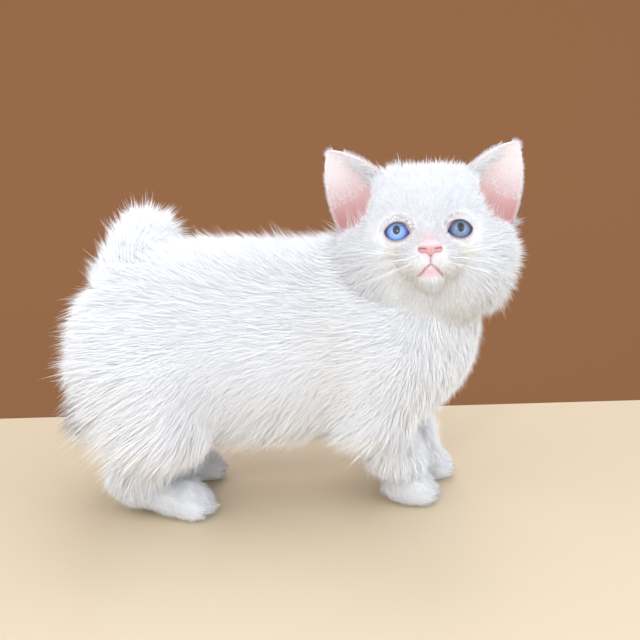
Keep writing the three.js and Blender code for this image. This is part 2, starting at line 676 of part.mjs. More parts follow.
const cat = new THREE.Group();
const add = (made, name, material = furMaterial) => cat.add(meshOf(largest(made), name, material));
for (const [name, made] of Object.entries(nodes)) add(made, name);
add(intoBody(head), "head");
add(intoBody(noseMade), "nose", noseMaterial);
for (const [name, made] of eyeNodes) add(intoBody(made), name, eyeMaterial);
add(earShell(-1).subtract(earClear), "ear_right", earMaterial);
add(earShell(1).subtract(earClear), "ear_left", earMaterial);

// The origin is on the floor, under the middle of the whole box.
const middle = new THREE.Box3().setFromObject(cat).getCenter(vec(0, 0, 0));
cat.position.set(-middle.x, -middle.y, 0);
export default cat;
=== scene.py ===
import math

import bmesh
import bpy
import numpy as np
from mathutils import Matrix, Vector


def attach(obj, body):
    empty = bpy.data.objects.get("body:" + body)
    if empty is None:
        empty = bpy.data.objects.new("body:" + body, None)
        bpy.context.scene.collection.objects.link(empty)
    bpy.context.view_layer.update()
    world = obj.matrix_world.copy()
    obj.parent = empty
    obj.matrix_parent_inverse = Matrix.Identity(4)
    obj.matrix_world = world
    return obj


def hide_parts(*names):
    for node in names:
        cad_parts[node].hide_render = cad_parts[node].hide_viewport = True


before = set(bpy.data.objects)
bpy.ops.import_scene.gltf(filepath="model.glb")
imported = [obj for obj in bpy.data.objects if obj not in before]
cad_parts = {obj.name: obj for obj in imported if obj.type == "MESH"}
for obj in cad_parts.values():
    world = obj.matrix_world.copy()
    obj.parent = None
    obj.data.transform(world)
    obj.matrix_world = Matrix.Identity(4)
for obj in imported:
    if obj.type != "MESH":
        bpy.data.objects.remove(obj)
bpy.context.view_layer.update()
mm = 0.001
sides = {-1: "right", 1: "left"}
chance = np.random.default_rng(11)  # every random draw below comes from this one seed


# Head place and turn, as the solids have them; x forward, y to its left, z up in the head's own frame
headSettings = {"place": (59.5, -14, 118), "yaw": -99.5, "pitch": 18.5, "roll": 3.2}
eyeSettings = {"radius": 7, "forward": 20.3, "side": 11.4, "up": 0.4, "outward": 10}
headTurn = np.array(
    Matrix.Rotation(math.radians(headSettings["yaw"]), 3, "Z")
    @ Matrix.Rotation(-math.radians(headSettings["pitch"]), 3, "Y")
    @ Matrix.Rotation(math.radians(headSettings["roll"]), 3, "X")
)
headPlace = np.array(headSettings["place"], float)


def outOfHead(points):
    return np.asarray(points, float) @ headTurn.T + headPlace


def intoHead(points):
    return (np.asarray(points, float) - headPlace) @ headTurn


def readRows(items, key="co"):
    rows = np.zeros(len(items) * 3)
    items.foreach_get(key, rows)
    return rows.reshape(-1, 3)


# The solids stand a little off the body's own frame; the eyes say by how much
eyeNodes = [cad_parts["eye_" + word] for word in sides.values()]
eyesMiddle = sum(readRows(node.data.vertices).mean(axis=0) / mm for node in eyeNodes) / 2
bodyShift = eyesMiddle - outOfHead((eyeSettings["forward"], 0, eyeSettings["up"]))
bodyShift[2] = 0
print("frame loaded, shift", bodyShift.round(3))


def toFrame(points):
    return (np.asarray(points, float) + bodyShift) * mm


# Camera, at the photograph's angle
cameraSettings = {"place": (-19.975, -406.8, 183.43), "azimuth": -5, "elevation": 14, "lens": 53.44}
cameraData = bpy.data.cameras.new("camera")
cameraData.lens = cameraSettings["lens"]
cameraData.sensor_width = 36
cameraData.clip_start = 0.01
camera = bpy.data.objects.new("camera", cameraData)
camera.location = toFrame(cameraSettings["place"])
camera.rotation_euler = (
    math.radians(90 - cameraSettings["elevation"]),
    0,
    math.radians(cameraSettings["azimuth"]),
)
bpy.context.scene.collection.objects.link(camera)
bpy.context.scene.camera = camera


# Forms of the flesh, in millimetres; each is a function of rows of points, negative inside
lumps = []  # round starting shapes for the skin, as centre, radii, turn
hollows = []  # and those cut out of it


def oval(centre, radii, turn=None, inHead=False, store=lumps):
    centre, radii = np.array(centre, float), np.array(radii, float)
    turn = np.eye(3) if turn is None else np.array(turn)
    if inHead:
        store.append((outOfHead(centre), radii, headTurn @ turn))
    else:
        store.append((centre, radii, turn))

    def field(points):
        scaled = ((points - centre) @ turn) / radii
        near = np.linalg.norm(scaled, axis=1)
        slope = np.linalg.norm(scaled / radii, axis=1)
        return near * (near - 1) / np.maximum(slope, 1e-9)

    return field


def limb(start, end, startRadius, endRadius, inHead=False):
    start, end = np.array(start, float), np.array(end, float)
    along = end - start
    steps = max(2, int(np.linalg.norm(along) / (0.5 * min(startRadius, endRadius))) + 1)
    for t in np.linspace(0, 1, steps):
        centre = start + along * t
        radius = startRadius + (endRadius - startRadius) * t
        lumps.append((outOfHead(centre) if inHead else centre, np.full(3, radius), np.eye(3)))

    def field(points):
        share = np.clip((points - start) @ along / (along @ along), 0, 1)
        gap = np.linalg.norm(points - start - share[:, None] * along, axis=1)
        return gap - (startRadius + (endRadius - startRadius) * share)

    return field


def blend(soft, *forms):
    def field(points):
        total = forms[0](points)
        for form in forms[1:]:
            other = form(points)
            near = np.maximum(soft - np.abs(total - other), 0) / soft
            total = np.minimum(total, other) - near * near * soft / 4
        return total

    return field


def carve(soft, form, dent):
    return lambda points: -blend(soft, lambda p: -form(p), dent)(points)


def mix(a, b, share):
    return a + (b - a) * share


def smooth(value, start, end):
    share = np.clip((value - start) / (end - start), 0, 1)
    return share * share * (3 - 2 * share)


def slopeOf(field, points, step=0.05):
    slope = np.zeros_like(points)
    for axis in range(3):
        nudge = np.zeros(3)
        nudge[axis] = step
        slope[:, axis] = (field(points + nudge) - field(points - nudge)) / (2 * step)
    return slope


def unit(rows):
    return rows / np.maximum(np.linalg.norm(rows, axis=-1, keepdims=True), 1e-9)


def easeOnto(field, points, passes=3, reach=2.0):
    for _ in range(passes):
        slope = slopeOf(field, points)
        shift = -field(points) / np.maximum((slope * slope).sum(axis=1), 0.2)
        points = points + slope * np.clip(shift, -reach, reach)[:, None]
    return points


# Trunk
trunkFullness = 3.2  # how far the flesh stands out from the forms' own sizes
trunkForm = blend(
    16,
    oval((24, -2, 74), (43, 27, 37)),
    oval((-20, 0, 72), (42, 29, 39)),
    oval((-53, 0, 75), (31, 27, 33)),
    oval((54, -3, 75), (25, 21, 27)),
    limb((46, -3, 86), (58, -10, 110), 26, 22),
)

# Legs: places from top to sole, and the way each paw points; under them, radii from top to sole
legSettings = {
    "foreRight": ((42, -20, 74), (37, -20, 48), (48, -15, 22), (55, -12.5, 0), -8),
    "foreLeft": ((48, 16, 74), (46, 18, 48), (60, 15, 22), (68, 15, 0), 4),
    "hindRight": ((-58, -17, 66), (-52, -21, 44), (-66, -16, 17), (-45, -18.5, 0), -20),
    "hindLeft": ((-56, 17, 66), (-48, 22, 44), (-64, 19, 17), (-41, 23, 0), 12),
}
legShapes = {
    "fore": {
        "top": (15, 13, 22), "upper": (14, 11.5), "bend": (12, 11.5), "lower": (11, 8.4), "foot": (8.2, 7.6),
        "bendFrom": 0.6, "heel": 0, "sole": 8.5,
    },
    "hind": {
        "top": (26, 14, 27), "upper": (18, 13.5), "bend": (14, 13.5), "lower": (13.5, 9), "foot": (7.6, 7.2),
        "bendFrom": 0.5, "heel": 5, "sole": 8,
    },
}
toeSettings = {"count": 4, "spacing": 4.1, "radii": (5.2, 2.9, 4.4)}


def pawForm(palm, turn):
    toes = []
    for i in range(toeSettings["count"]):
        across = i - (toeSettings["count"] - 1) / 2
        place = np.array((7.5 - 0.95 * across * across, across * toeSettings["spacing"], 4.6))
        toes.append(oval(palm + turn @ place, toeSettings["radii"], turn))
    sole = oval(palm + turn @ np.array((-2, 0, 6.2)), (10, 7.8, 6), turn)
    return blend(4, sole, blend(1.0, *toes))


legPaws = []  # ankle, palm and turn of each paw
uppers, lowers = [], []
for name, (*places, heading) in legSettings.items():
    top, bend, ankle, palm = np.array(places, float)
    turn = np.array(Matrix.Rotation(math.radians(heading), 3, "Z"))
    shape = legShapes[name[:4]]
    legPaws.append((ankle, palm, turn))
    uppers.append(blend(9, oval(top, shape["top"]), limb(top, bend, *shape["upper"])))
    lower = (
        limb(top + (bend - top) * shape["bendFrom"], bend, *shape["bend"]),
        limb(bend, ankle, *shape["lower"]),
        limb(ankle - (0, 0, shape["heel"]), palm + (0, 0, shape["sole"]), *shape["foot"]),
        pawForm(palm, turn),
    )
    lowers.append(blend(7, *lower))
upperForm = blend(10, trunkForm, *uppers)
bodyForm = blend(6, lambda p: upperForm(p) - trunkFullness * smooth(p[:, 2], 24, 42), *lowers)

# Tail, arched over to the far side
tailSettings = {
    "line": [
        (-70, 0, 90), (-69, 1, 105), (-64, 6, 114), (-60, 18, 117),
        (-59, 33, 112), (-59, 46, 101), (-60, 57, 87),
    ],
    "radius": 6.2,
    "taper": 0.35,
    "steps": 14,
}


def smoothLine(places, count):
    # evenly spaced places along a curve through the ones given
    places = np.array(places, float)
    padded = np.vstack([2 * places[0] - places[1], places, 2 * places[-1] - places[-2]])
    fine = []
    for a, b, c, d in zip(padded[:-3], padded[1:-2], padded[2:-1], padded[3:]):
        for t in np.linspace(0, 1, 24, endpoint=False):
            bends = (2 * a - 5 * b + 4 * c - d) * t**2 + (3 * b - a - 3 * c + d) * t**3
            fine.append(0.5 * (2 * b + (c - a) * t + bends))
    fine = np.array([*fine, places[-1]])
    walked = np.concatenate([[0], np.cumsum(np.linalg.norm(np.diff(fine, axis=0), axis=1))])
    wanted = np.linspace(0, walked[-1], count)
    return np.stack([np.interp(wanted, walked, fine[:, k]) for k in range(3)], axis=1)


tailLine = smoothLine(tailSettings["line"], tailSettings["steps"] + 1)
tailRadii = tailSettings["radius"] * (1 - tailSettings["taper"] * np.linspace(0, 1, len(tailLine)))
tailSteps = zip(tailLine[:-1], tailLine[1:], tailRadii[:-1], tailRadii[1:])
tailForm = blend(4, *[limb(*step) for step in tailSteps])


# Head
def eyePlace(side):
    return np.array((eyeSettings["forward"], side * eyeSettings["side"], eyeSettings["up"]))


def bothSides(centre, radii, **more):
    x, y, z = centre
    return [oval((x, side * y, z), radii, inHead=True, **more) for side in sides]


wholeFace = blend(
    3.5,
    blend(
        9,
        oval((-2, 0, 3.5), (31, 29.5, 26), inHead=True),
        oval((12, 0, 8), (17, 20, 16), inHead=True),
        oval((22, 0, -11), (12, 11, 8.5), inHead=True),
        *bothSides((-2, 13, 9), (22, 15, 18.5)),
        *bothSides((4, 16, -9), (17, 16, 14)),
        *bothSides((-1, 21, -2), (15, 12.5, 12)),
        *bothSides((3, 11, -13.5), (19, 19, 19)),
    ),
    blend(
        2.2,
        *bothSides((28.6, 4.9, -12.4), (6, 5.4, 4.9)),
        oval((26.5, 0, -17.6), (6, 5.2, 4.6), inHead=True),
    ),
    limb((20, 0, 0), (32, 0, -7), 7, 3.6, inHead=True),
    *bothSides(eyePlace(1), (7.8, 7.8, 7.4)),
)
earHollow = blend(1, *bothSides((8, 29, 17.5), (15, 9, 13), store=hollows))
faceForm = carve(2, wholeFace, earHollow)


def skinForm(points):
    return blend(5, bodyForm, tailForm, lambda p: faceForm(intoHead(p)))(points)


# How deep the coat stands over the skin, by place, in millimetres
coatDepth = {
    "trunk": 6.8, "belly": 9.8, "rump": 9.8, "leg": 5, "paw": 1.5,
    "tail": 10, "face": 2.4, "cheek": 6.5, "eye": 0.9,
}


def bodyDepth(points):
    rear = smooth(points[:, 0], -45, -75)
    under = smooth(points[:, 2], 60, 38)
    trunk = mix(mix(coatDepth["trunk"], coatDepth["belly"], under), coatDepth["rump"], rear)
    low = mix(coatDepth["leg"], coatDepth["paw"], smooth(points[:, 2], 26, 14))
    return mix(low, trunk, smooth(points[:, 2], 22, 42))


def faceDepth(points):
    aside = smooth(np.abs(points[:, 1]), 14, 28) * smooth(points[:, 2], 10, -6)
    back = smooth(points[:, 0], 14, -10)
    fur = mix(coatDepth["face"], coatDepth["cheek"], np.maximum(aside, back * 0.8))
    toEye = np.minimum(*[np.linalg.norm(points - eyePlace(side), axis=1) for side in sides])
    toNose = np.linalg.norm(points - (35.2, 0, -9.9), axis=1)
    bare = np.minimum(smooth(toEye, 7.5, 13), smooth(toNose, 3, 10))
    return mix(coatDepth["eye"], fur, bare)


# Making meshes and pieces
def meshFrom(work, name):
    mesh = bpy.data.meshes.new(name)
    work.to_mesh(mesh)
    work.free()
    return mesh


def addObject(name, data):
    piece = bpy.data.objects.new(name, data)
    bpy.context.scene.collection.objects.link(piece)
    return piece


def shapedMesh(piece):
    # the mesh that an object's modifiers make
    return bpy.data.meshes.new_from_object(piece.evaluated_get(bpy.context.evaluated_depsgraph_get()))


def linkPiece(name, mesh, material, nodes=()):
    piece = addObject(name, mesh)
    mesh.materials.append(material)
    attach(piece, "root")
    if nodes:
        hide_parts(*nodes)
    return piece


def writePoints(mesh, points):
    mesh.vertices.foreach_set("co", np.ascontiguousarray(points, dtype=np.float32).ravel())
    mesh.update()


def writeColour(mesh, name, colours):
    layer = mesh.color_attributes.new(name, "FLOAT_COLOR", "POINT")
    rows = np.ones((len(colours), 4), np.float32)
    rows[:, :3] = colours
    layer.data.foreach_set("color", rows.ravel())


# Making materials
def fill(node, inputs):
    # sockets by name or number: another node's output is linked, anything else is a value
    for socket, value in inputs.items():
        if isinstance(value, bpy.types.NodeSocket):
            node.id_data.links.new(value, node.inputs[socket])
        else:
            node.inputs[socket].default_value = value


def addNode(material, kind, inputs, output=0, **settings):
    node = material.node_tree.nodes.new("ShaderNode" + kind)
    for key, value in settings.items():
        setattr(node, key, value)
    fill(node, inputs)
    return node.outputs[output]


def newMaterial(name, inputs):
    material = bpy.data.materials.new(name)
    material.use_nodes = True
    shader = material.node_tree.nodes["Principled BSDF"]
    fill(shader, inputs)
    return material, shader


def tintedMaterial(name, attribute, inputs, texture=None, grain=None, strength=0, distance=0):
    # a finish coloured by a mesh attribute; a texture's grain can roughen it, to a depth in metres
    material, shader = newMaterial(name, inputs)
    fill(shader, {"Base Color": addNode(material, "Attribute", {}, "Color", attribute_name=attribute)})
    if texture:
        place = addNode(material, "TexCoord", {}, "Object")
        height = addNode(material, texture, {"Vector": place, **grain})
        bump = addNode(material, "Bump", {"Height": height, "Strength": strength, "Distance": distance})
        fill(shader, {"Normal": bump})
    return material


# Skin: round lumps made one by a voxel remesh, eased onto the form, finer over the face
skinSettings = {
    "voxel": 2.2,
    "finer": [(4, 34, -34, 34), (14, 24, -22, 14), (22, 12, -26, -3)],  # from x, within y, from z, to z
}
print("making the skin")


def roundShapes(name, shapes):
    work = bmesh.new()
    for centre, radii, turn in shapes:
        place = Matrix.Translation(centre) @ Matrix(turn.tolist()).to_4x4() @ Matrix.Diagonal((*radii, 1))
        bmesh.ops.create_icosphere(work, subdivisions=3, radius=1, matrix=place)
    return addObject(name, meshFrom(work, name))


def addRemesh(piece):
    remesh = piece.modifiers.new("remesh", "REMESH")
    remesh.mode = "VOXEL"
    remesh.voxel_size = skinSettings["voxel"]


starter, cutter = roundShapes("skinStart", lumps), roundShapes("hollowStart", hollows)
addRemesh(starter)
hollowCut = starter.modifiers.new("hollows", "BOOLEAN")
hollowCut.operation = "DIFFERENCE"
hollowCut.object = cutter
addRemesh(starter)
skinMesh = shapedMesh(starter)
skinMesh.name = "skin"
bpy.data.objects.remove(starter)
bpy.data.objects.remove(cutter)
writePoints(skinMesh, easeOnto(skinForm, readRows(skinMesh.vertices)))


def refine(chosen):
    # more points on the skin where chosen says so
    work = bmesh.new()
    work.from_mesh(skinMesh)
    work.verts.ensure_lookup_table()
    picked = chosen(intoHead(np.array([v.co for v in work.verts])))
    edges = [e for e in work.edges if picked[e.verts[0].index] and picked[e.verts[1].index]]
    bmesh.ops.subdivide_edges(work, edges=edges, cuts=1, use_grid_fill=True)
    bmesh.ops.triangulate(work, faces=[f for f in work.faces if len(f.verts) > 4])
    work.to_mesh(skinMesh)
    work.free()
    writePoints(skinMesh, easeOnto(skinForm, readRows(skinMesh.vertices), 2))


for fromX, withinY, fromZ, toZ in skinSettings["finer"]:
    refine(lambda p: (p[:, 0] > fromX) & (np.abs(p[:, 1]) < withinY) & (p[:, 2] > fromZ) & (p[:, 2] < toZ))

# Lid openings: an almond on the front of each eyeball
lidSettings = {
    "halfWidth": 5.2, "halfHeight": 3.8, "rimRadius": 0.34,
    "snap": 0.16, "lift": 0.4, "blend": 3.4, "tuck": 1.3,
}


def bezier(a, b, c, d, count):
    t = np.linspace(0, 1, count, endpoint=False)[:, None]
    a, b, c, d = [np.array(q, float) for q in (a, b, c, d)]
    return a * (1 - t) ** 3 + 3 * b * t * (1 - t) ** 2 + 3 * c * t * t * (1 - t) + d * t**3


def lidOutline(side, count=28):
    w, h = side * lidSettings["halfWidth"], lidSettings["halfHeight"]
    upper = bezier((-w, -0.7), (-w * 0.85, h * 1.15), (w * 0.35, h * 1.5), (w, 0.6), count)
    lower = bezier((w, 0.6), (w * 0.8, -h * 1.25), (-w * 0.45, -h * 1.3), (-w, -0.7), count)
    return np.vstack([upper, lower])


def lidFrame(side):
    angle = math.radians(side * eyeSettings["outward"])
    across = np.array((-math.sin(angle), math.cos(angle), 0))
    ahead = np.array((math.cos(angle), math.sin(angle), 0))
    return across, np.array((0, 0, 1.0)), ahead


def lidReach(points, side):
    # how far out from the middle of an eye's opening, as a share of the opening
    own = points - eyePlace(side)
    across, up, ahead = lidFrame(side)
    reach = np.hypot(own @ across / lidSettings["halfWidth"], own @ up / lidSettings["halfHeight"])
    return np.where(own @ ahead > -2, reach, 9), own


def toLine(points, line):
    # how far places are from a line, and the nearest places on it
    gap, nearest = np.full(len(points), 1e3), np.zeros_like(points)
    for a, b in zip(line[:-1], line[1:]):
        along = b - a
        share = np.clip((points - a) @ along / (along @ along), 0, 1)
        spot = a + share[:, None] * along
        reach = np.linalg.norm(points - spot, axis=1)
        closer = reach < gap
        gap[closer], nearest[closer] = reach[closer], spot[closer]
    return gap, nearest


def insideOutline(flat, outline):
    x, y = flat[:, 0], flat[:, 1]
    inside = np.zeros(len(flat), bool)
    for (x1, y1), (x2, y2) in zip(outline[:-1], outline[1:]):
        if abs(y2 - y1) < 1e-9:
            continue
        crosses = (y1 > y) != (y2 > y)
        inside ^= crosses & (x < (x2 - x1) * (y - y1) / (y2 - y1) + x1)
    return inside


def openLids(points):
    # the skin comes down onto the eyeball round each opening, and is tucked in behind it
    radius = eyeSettings["radius"]
    for side in sides:
        own = points - eyePlace(side)
        across, up, ahead = lidFrame(side)
        flat = np.stack([own @ across, own @ up], axis=1)
        depth = own @ ahead
        near = (depth > 0) & (np.linalg.norm(flat, axis=1) < 11) & (np.linalg.norm(own, axis=1) < 15)
        flat, depth = flat[near], depth[near]
        outline = lidOutline(side)
        outline = np.vstack([outline, outline[:1]])
        gap, nearest = toLine(flat, outline)
        inside = insideOutline(flat, outline)
        edge = gap < lidSettings["snap"]
        flat[edge] = nearest[edge]
        inside &= ~edge
        gap[edge] = 0
        lateral = (flat**2).sum(axis=1)
        onBall = np.sqrt(np.maximum((radius + lidSettings["lift"]) ** 2 - lateral, 1.0))
        depth = mix(onBall, depth, smooth(gap, 0, lidSettings["blend"]))
        tucked = np.sqrt(np.maximum(radius**2 - lateral, 1.0)) - lidSettings["tuck"]
        depth = np.where(inside, tucked, depth)
        points[near] = eyePlace(side) + flat[:, :1] * across + flat[:, 1:] * up + depth[:, None] * ahead
    return points


# Mouth and philtrum: furrows along lines on the muzzle, given as across and up
mouthSettings = {
    "philtrum": [(0, -9.8), (0, -12), (0, -14.4)],
    "mouth": [(0, -14.2), (1.3, -15.0), (2.6, -16.3), (3.9, -17.5), (5.0, -18.2)],
    "width": 0.42,
    "depth": 0.8,
}


def onFace(pairs):
    # the points of the face straight ahead of those across and up values
    near, far = np.full(len(pairs), 8.0), np.full(len(pairs), 60.0)
    pairs = np.array(pairs, float)
    for _ in range(24):
        middle = (near + far) / 2
        inside = faceForm(np.column_stack([middle, pairs])) < 0
        near, far = np.where(inside, middle, near), np.where(inside, far, middle)
    return np.column_stack([near, pairs])


mouthLines = [onFace(mouthSettings["philtrum"])]
for side in sides:
    mouthLines.append(onFace([(side * y, z) for y, z in mouthSettings["mouth"]]))


def toMouth(points):
    return np.minimum.reduce([toLine(points, line)[0] for line in mouthLines])


for side in sides:
    refine(lambda p: np.linalg.norm(p - eyePlace(side) - (5, 0, 0), axis=1) < 8)
local = intoHead(readRows(skinMesh.vertices))
mouthGap = toMouth(local)
faceSlope = unit(slopeOf(faceForm, local))
local -= faceSlope * (mouthSettings["depth"] * np.exp(-((mouthGap / mouthSettings["width"]) ** 2)))[:, None]
skinPoints = outOfHead(openLids(local))
skinPoints[:, 2] = np.maximum(skinPoints[:, 2], 0.2)
print("skin has", len(skinMesh.vertices), "points")


# Colours of the coat and the skin under it, and of the bare parts; some are painted shade and light, as
# marked
# the grey, furrow, nostril and nose-cleft colours are painted shade
colourSettings = {
    "white": (0.955, 0.955, 0.965),
    "cream": (0.93, 0.875, 0.79),
    "pink": (0.90, 0.64, 0.64),
    "stain": (0.86, 0.78, 0.62),
    "shadeGrey": (0.70, 0.71, 0.75),
    "lip": (0.72, 0.44, 0.49),
    "furrow": (0.52, 0.24, 0.27),
    "inEar": (0.56, 0.33, 0.31),
    "lidLine": (0.10, 0.08, 0.12),
    "lidCorner": (0.55, 0.33, 0.38),
    "lidBelow": (0.44, 0.36, 0.42),
    "nose": (0.61, 0.34, 0.37),
    "noseTop": (0.76, 0.53, 0.53),
    "nostril": (0.30, 0.07, 0.09),
    "noseCleft": (0.55, 0.2, 0.2),
    "earTip": (0.66, 0.56, 0.545),
    "earDeep": (0.50, 0.26, 0.245),
}
colour = {name: np.array(value) for name, value in colourSettings.items()}
headSpots = []  # colour, share, place in the head's frame, radii
for side in sides:
    headSpots += [
        ("stain", 0.75, (26, side * 12.5, -8.5), (6, 4.5, 4)),
        ("cream", 0.45, (28, side * 8, -14), (8, 6, 5)),
        # painted shade round the top of each eye, on its inner and its outer side
        ("shadeGrey", 0.42, (24, side * 7.5, 8), (8, 3.5, 5)),
        ("shadeGrey", 0.25, (22, side * 17, 7), (8, 3, 3)),
    ]
headSpots += [
    ("pink", 0.80, (33, 0, -4.6), (9, 4.0, 3.2)),
    ("pink", 0.45, (36, 0, -9.5), (4, 6, 4)),
    ("cream", 0.25, (4, -24, -8), (16, 12, 14)),
]
bodySpots = [
    ("cream", 0.30, (20, -30, 78), (12, 30, 34)),
    # painted warm light bounced up from the floor, on the near side of the lower body
    ("cream", 0.18, (-30, -20, 40), (60, 30, 16)),
]
shortFurPaintedShade = 0.16  # painted shade: short fur throws back more light than long fur, so its white is painted a little darker to even out the light
# painted shade: skin showing through short fur is darkened, standing in for the shade between strands
bareSkinPaintedShade = 0.2


def spot(points, centre, radii):
    return np.exp(-((((points - np.array(centre)) / np.array(radii)) ** 2).sum(axis=1)))


def lay(tint, name, share):
    return mix(tint, colour[name], np.clip(share, 0, 1)[:, None])


def toeGap(points, palm, turn):
    # how far a place is from the lines between a paw's toes
    own = (points - palm) @ turn
    aside = np.abs(own[:, 1])
    gap = np.minimum(aside, np.abs(aside - toeSettings["spacing"]))
    inFront = smooth(own[:, 0], 4, 6.5) * smooth(own[:, 2], 12, 9)
    return mix(30.0, gap, inFront)


def colourAndPaintedLight(points):
    # the colour of the coat at rows of places in the body's frame, painted shade and light included
    head = intoHead(points)
    tint = np.tile(colour["white"], (len(points), 1))
    for own, spots in ((head, headSpots), (points, bodySpots)):
        for name, share, centre, radii in spots:
            tint = lay(tint, name, share * spot(own, centre, radii))
    # painted shade in the gaps between the toes
    for _, palm, turn in legPaws:
        tint = lay(tint, "shadeGrey", 0.9 * np.exp(-((toeGap(points, palm, turn) / 0.6) ** 2)))
    # painted shade: a darker white where the fur is short, on the face and the paws
    shortFur = smooth(faceForm(head), 4, 1) * smooth(head[:, 0], -8, 14)
    shortFur = np.maximum(shortFur, 1.2 * smooth(points[:, 2], 26, 10))
    return tint * (1 - shortFurPaintedShade * shortFur)[:, None]


def skinColours(points, gap):
    head = intoHead(points)
    tint = lay(colourAndPaintedLight(points), "lip", 0.6 * np.exp(-((gap / 0.9) ** 2)) * smooth(head[:, 2], -12, -15))
    tint = lay(tint, "lip", 0.9 * spot(head, (32, 0, -17.2), (12, 3.8, 1.9)))
    for side in sides:
        lid = 0.6 * smooth(lidReach(head, side)[0], 1.35, 1.0)
        tint = mix(tint, colour["lip"] * 0.9, lid[:, None])
    tint = lay(tint, "inEar", smooth(earHollow(head), 2.2, 0.6) * (head[:, 0] > -12))
    # painted shade in the grooves of the mouth and the philtrum
    tint = lay(tint, "furrow", 0.8 * np.exp(-((gap / 0.27) ** 2)))
    # painted shade on the skin where the fur over it is short
    bare = smooth(faceForm(head), 5, 2) * smooth(head[:, 0], -8, 14)
    bare = np.maximum(bare, smooth(points[:, 2], 26, 10))
    return tint * (1 - bareSkinPaintedShade * bare)[:, None]


skinMaterial = tintedMaterial(
    "skinFinish", "colourAndPaintedLight", {"Roughness": 0.85, "Specular IOR Level": 0.12},
    "TexNoise", {"Scale": 1100, "Detail": 4}, 0.6, 0.0004,
)
fleshNodes = [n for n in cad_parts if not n.startswith(("eye", "ear", "nose"))]
writeColour(skinMesh, "colourAndPaintedLight", skinColours(skinPoints, mouthGap))
writePoints(skinMesh, toFrame(skinPoints))
skinMesh.shade_smooth()
linkPiece("skin", skinMesh, skinMaterial, fleshNodes)


# Eyes
eyeLook = {
    "irisRadius": 5.0, "pupilWide": 1.5, "pupilTall": 1.9, "gazeUp": 0.7, "cornea": 0.55,
    "rim": (0.012, 0.016, 0.03, 1), "pupil": (0.006, 0.008, 0.02, 1), "white": (0.62, 0.45, 0.44, 1),
}


def paintEye(name, side, inner, outer, shade):
    # streaked rings of colour round the gaze, with painted shade under the upper lid and painted light low
    # on the iris, with the pupil and the white
    gloss = {"Roughness": 0.4, "Specular IOR Level": 0.1, "Coat Weight": 1.0, "Coat Roughness": 0.02}
    material, shader = newMaterial(name, gloss)

    def work(operation, *values):
        return addNode(material, "Math", dict(enumerate(values)), operation=operation)

    def ranged(value, *ends):
        names = ("From Min", "From Max", "To Min", "To Max")
        return addNode(material, "MapRange", {"Value": value, **dict(zip(names, ends))})

    def mixed(share, first, second):
        inputs = {"Factor": share, "A": first, "B": second}
        return addNode(material, "Mix", inputs, "Result", data_type="RGBA")

    def reachOf(wide, tall):
        across, up = work("DIVIDE", x, wide), work("DIVIDE", y, tall)
        return work("SQRT", work("ADD", work("MULTIPLY", across, across), work("MULTIPLY", up, up)))

    turn = Matrix([headTurn @ axis for axis in lidFrame(side)]).to_euler()
    place = addNode(material, "TexCoord", {}, "Object")
    place = addNode(material, "Mapping", {"Vector": place, "Location": -toFrame(outOfHead(eyePlace(side)))})
    place = addNode(material, "Mapping", {"Vector": place, "Rotation": turn, "Scale": (1 / mm,) * 3})
    x, y = [addNode(material, "SeparateXYZ", {"Vector": place}, axis) for axis in "XY"]
    y = work("SUBTRACT", y, eyeLook["gazeUp"])
    reach = reachOf(1, 1)
    spokes = {"X": work("MULTIPLY", work("ARCTAN2", y, x), 6), "Y": work("MULTIPLY", reach, 0.5)}
    spokes = addNode(material, "CombineXYZ", spokes)
    streaks = addNode(material, "TexNoise", {"Vector": spokes, "Scale": 2.2, "Detail": 6})
    outward = work("ADD", reach, work("MULTIPLY_ADD", streaks, 1.5, -0.75))
    ramp = material.node_tree.nodes.new("ShaderNodeValToRGB")
    fill(ramp, {"Fac": work("DIVIDE", outward, eyeLook["irisRadius"])})
    stops = ramp.color_ramp.elements
    stops.remove(stops[1])
    stops[0].position = 0.30
    stops[0].color = (*inner, 1)
    for position, tint in ((0.66, (*outer, 1)), (0.92, (*shade, 1)), (1.0, eyeLook["rim"])):
        stops.new(position).color = tint
    inPupil = ranged(reachOf(eyeLook["pupilWide"], eyeLook["pupilTall"]), 0.85, 1.15, 1, 0)
    inWhite = ranged(reach, eyeLook["irisRadius"] - 0.15, eyeLook["irisRadius"] + 0.35)
    whole = mixed(inWhite, mixed(inPupil, ramp.outputs["Color"], eyeLook["pupil"]), eyeLook["white"])
    # painted shade under the upper lid and painted light low on the iris, times the lighter and darker iris
    # streaks
    lidShadeAndStreaks = work("MULTIPLY", ranged(y, -3.0, 3.2, 1.2, 0.38), ranged(streaks, 0.3, 0.7, 0.5, 1.7))
    shaded = addNode(material, "VectorMath", {0: whole, "Scale": lidShadeAndStreaks}, operation="SCALE")
    fill(shader, {"Base Color": shaded})
    return material


def makeEye(side, material):
    ball = bmesh.new()
    bmesh.ops.create_uvsphere(ball, u_segments=64, v_segments=48, radius=eyeSettings["radius"])
    for vert in ball.verts:  # the cornea stands a little proud over the iris
        out = math.hypot(vert.co.x, vert.co.y - eyeLook["gazeUp"]) / eyeLook["irisRadius"]
        if vert.co.z > 0 and out < 1:
            vert.co.z += eyeLook["cornea"] * (1 - out * out) ** 2
    turn = Matrix(np.stack(lidFrame(side), axis=1).tolist()).to_4x4()
    place = Matrix.Translation(outOfHead(eyePlace(side))) @ Matrix(headTurn.tolist()).to_4x4() @ turn
    bmesh.ops.transform(ball, matrix=place, verts=ball.verts)
    name = "eye_" + sides[side]
    mesh = meshFrom(ball, name)
    writePoints(mesh, toFrame(readRows(mesh.vertices)))
    mesh.shade_smooth()
    linkPiece(name + "_ball", mesh, material, [name])


print("making the eyes, nose and ears")
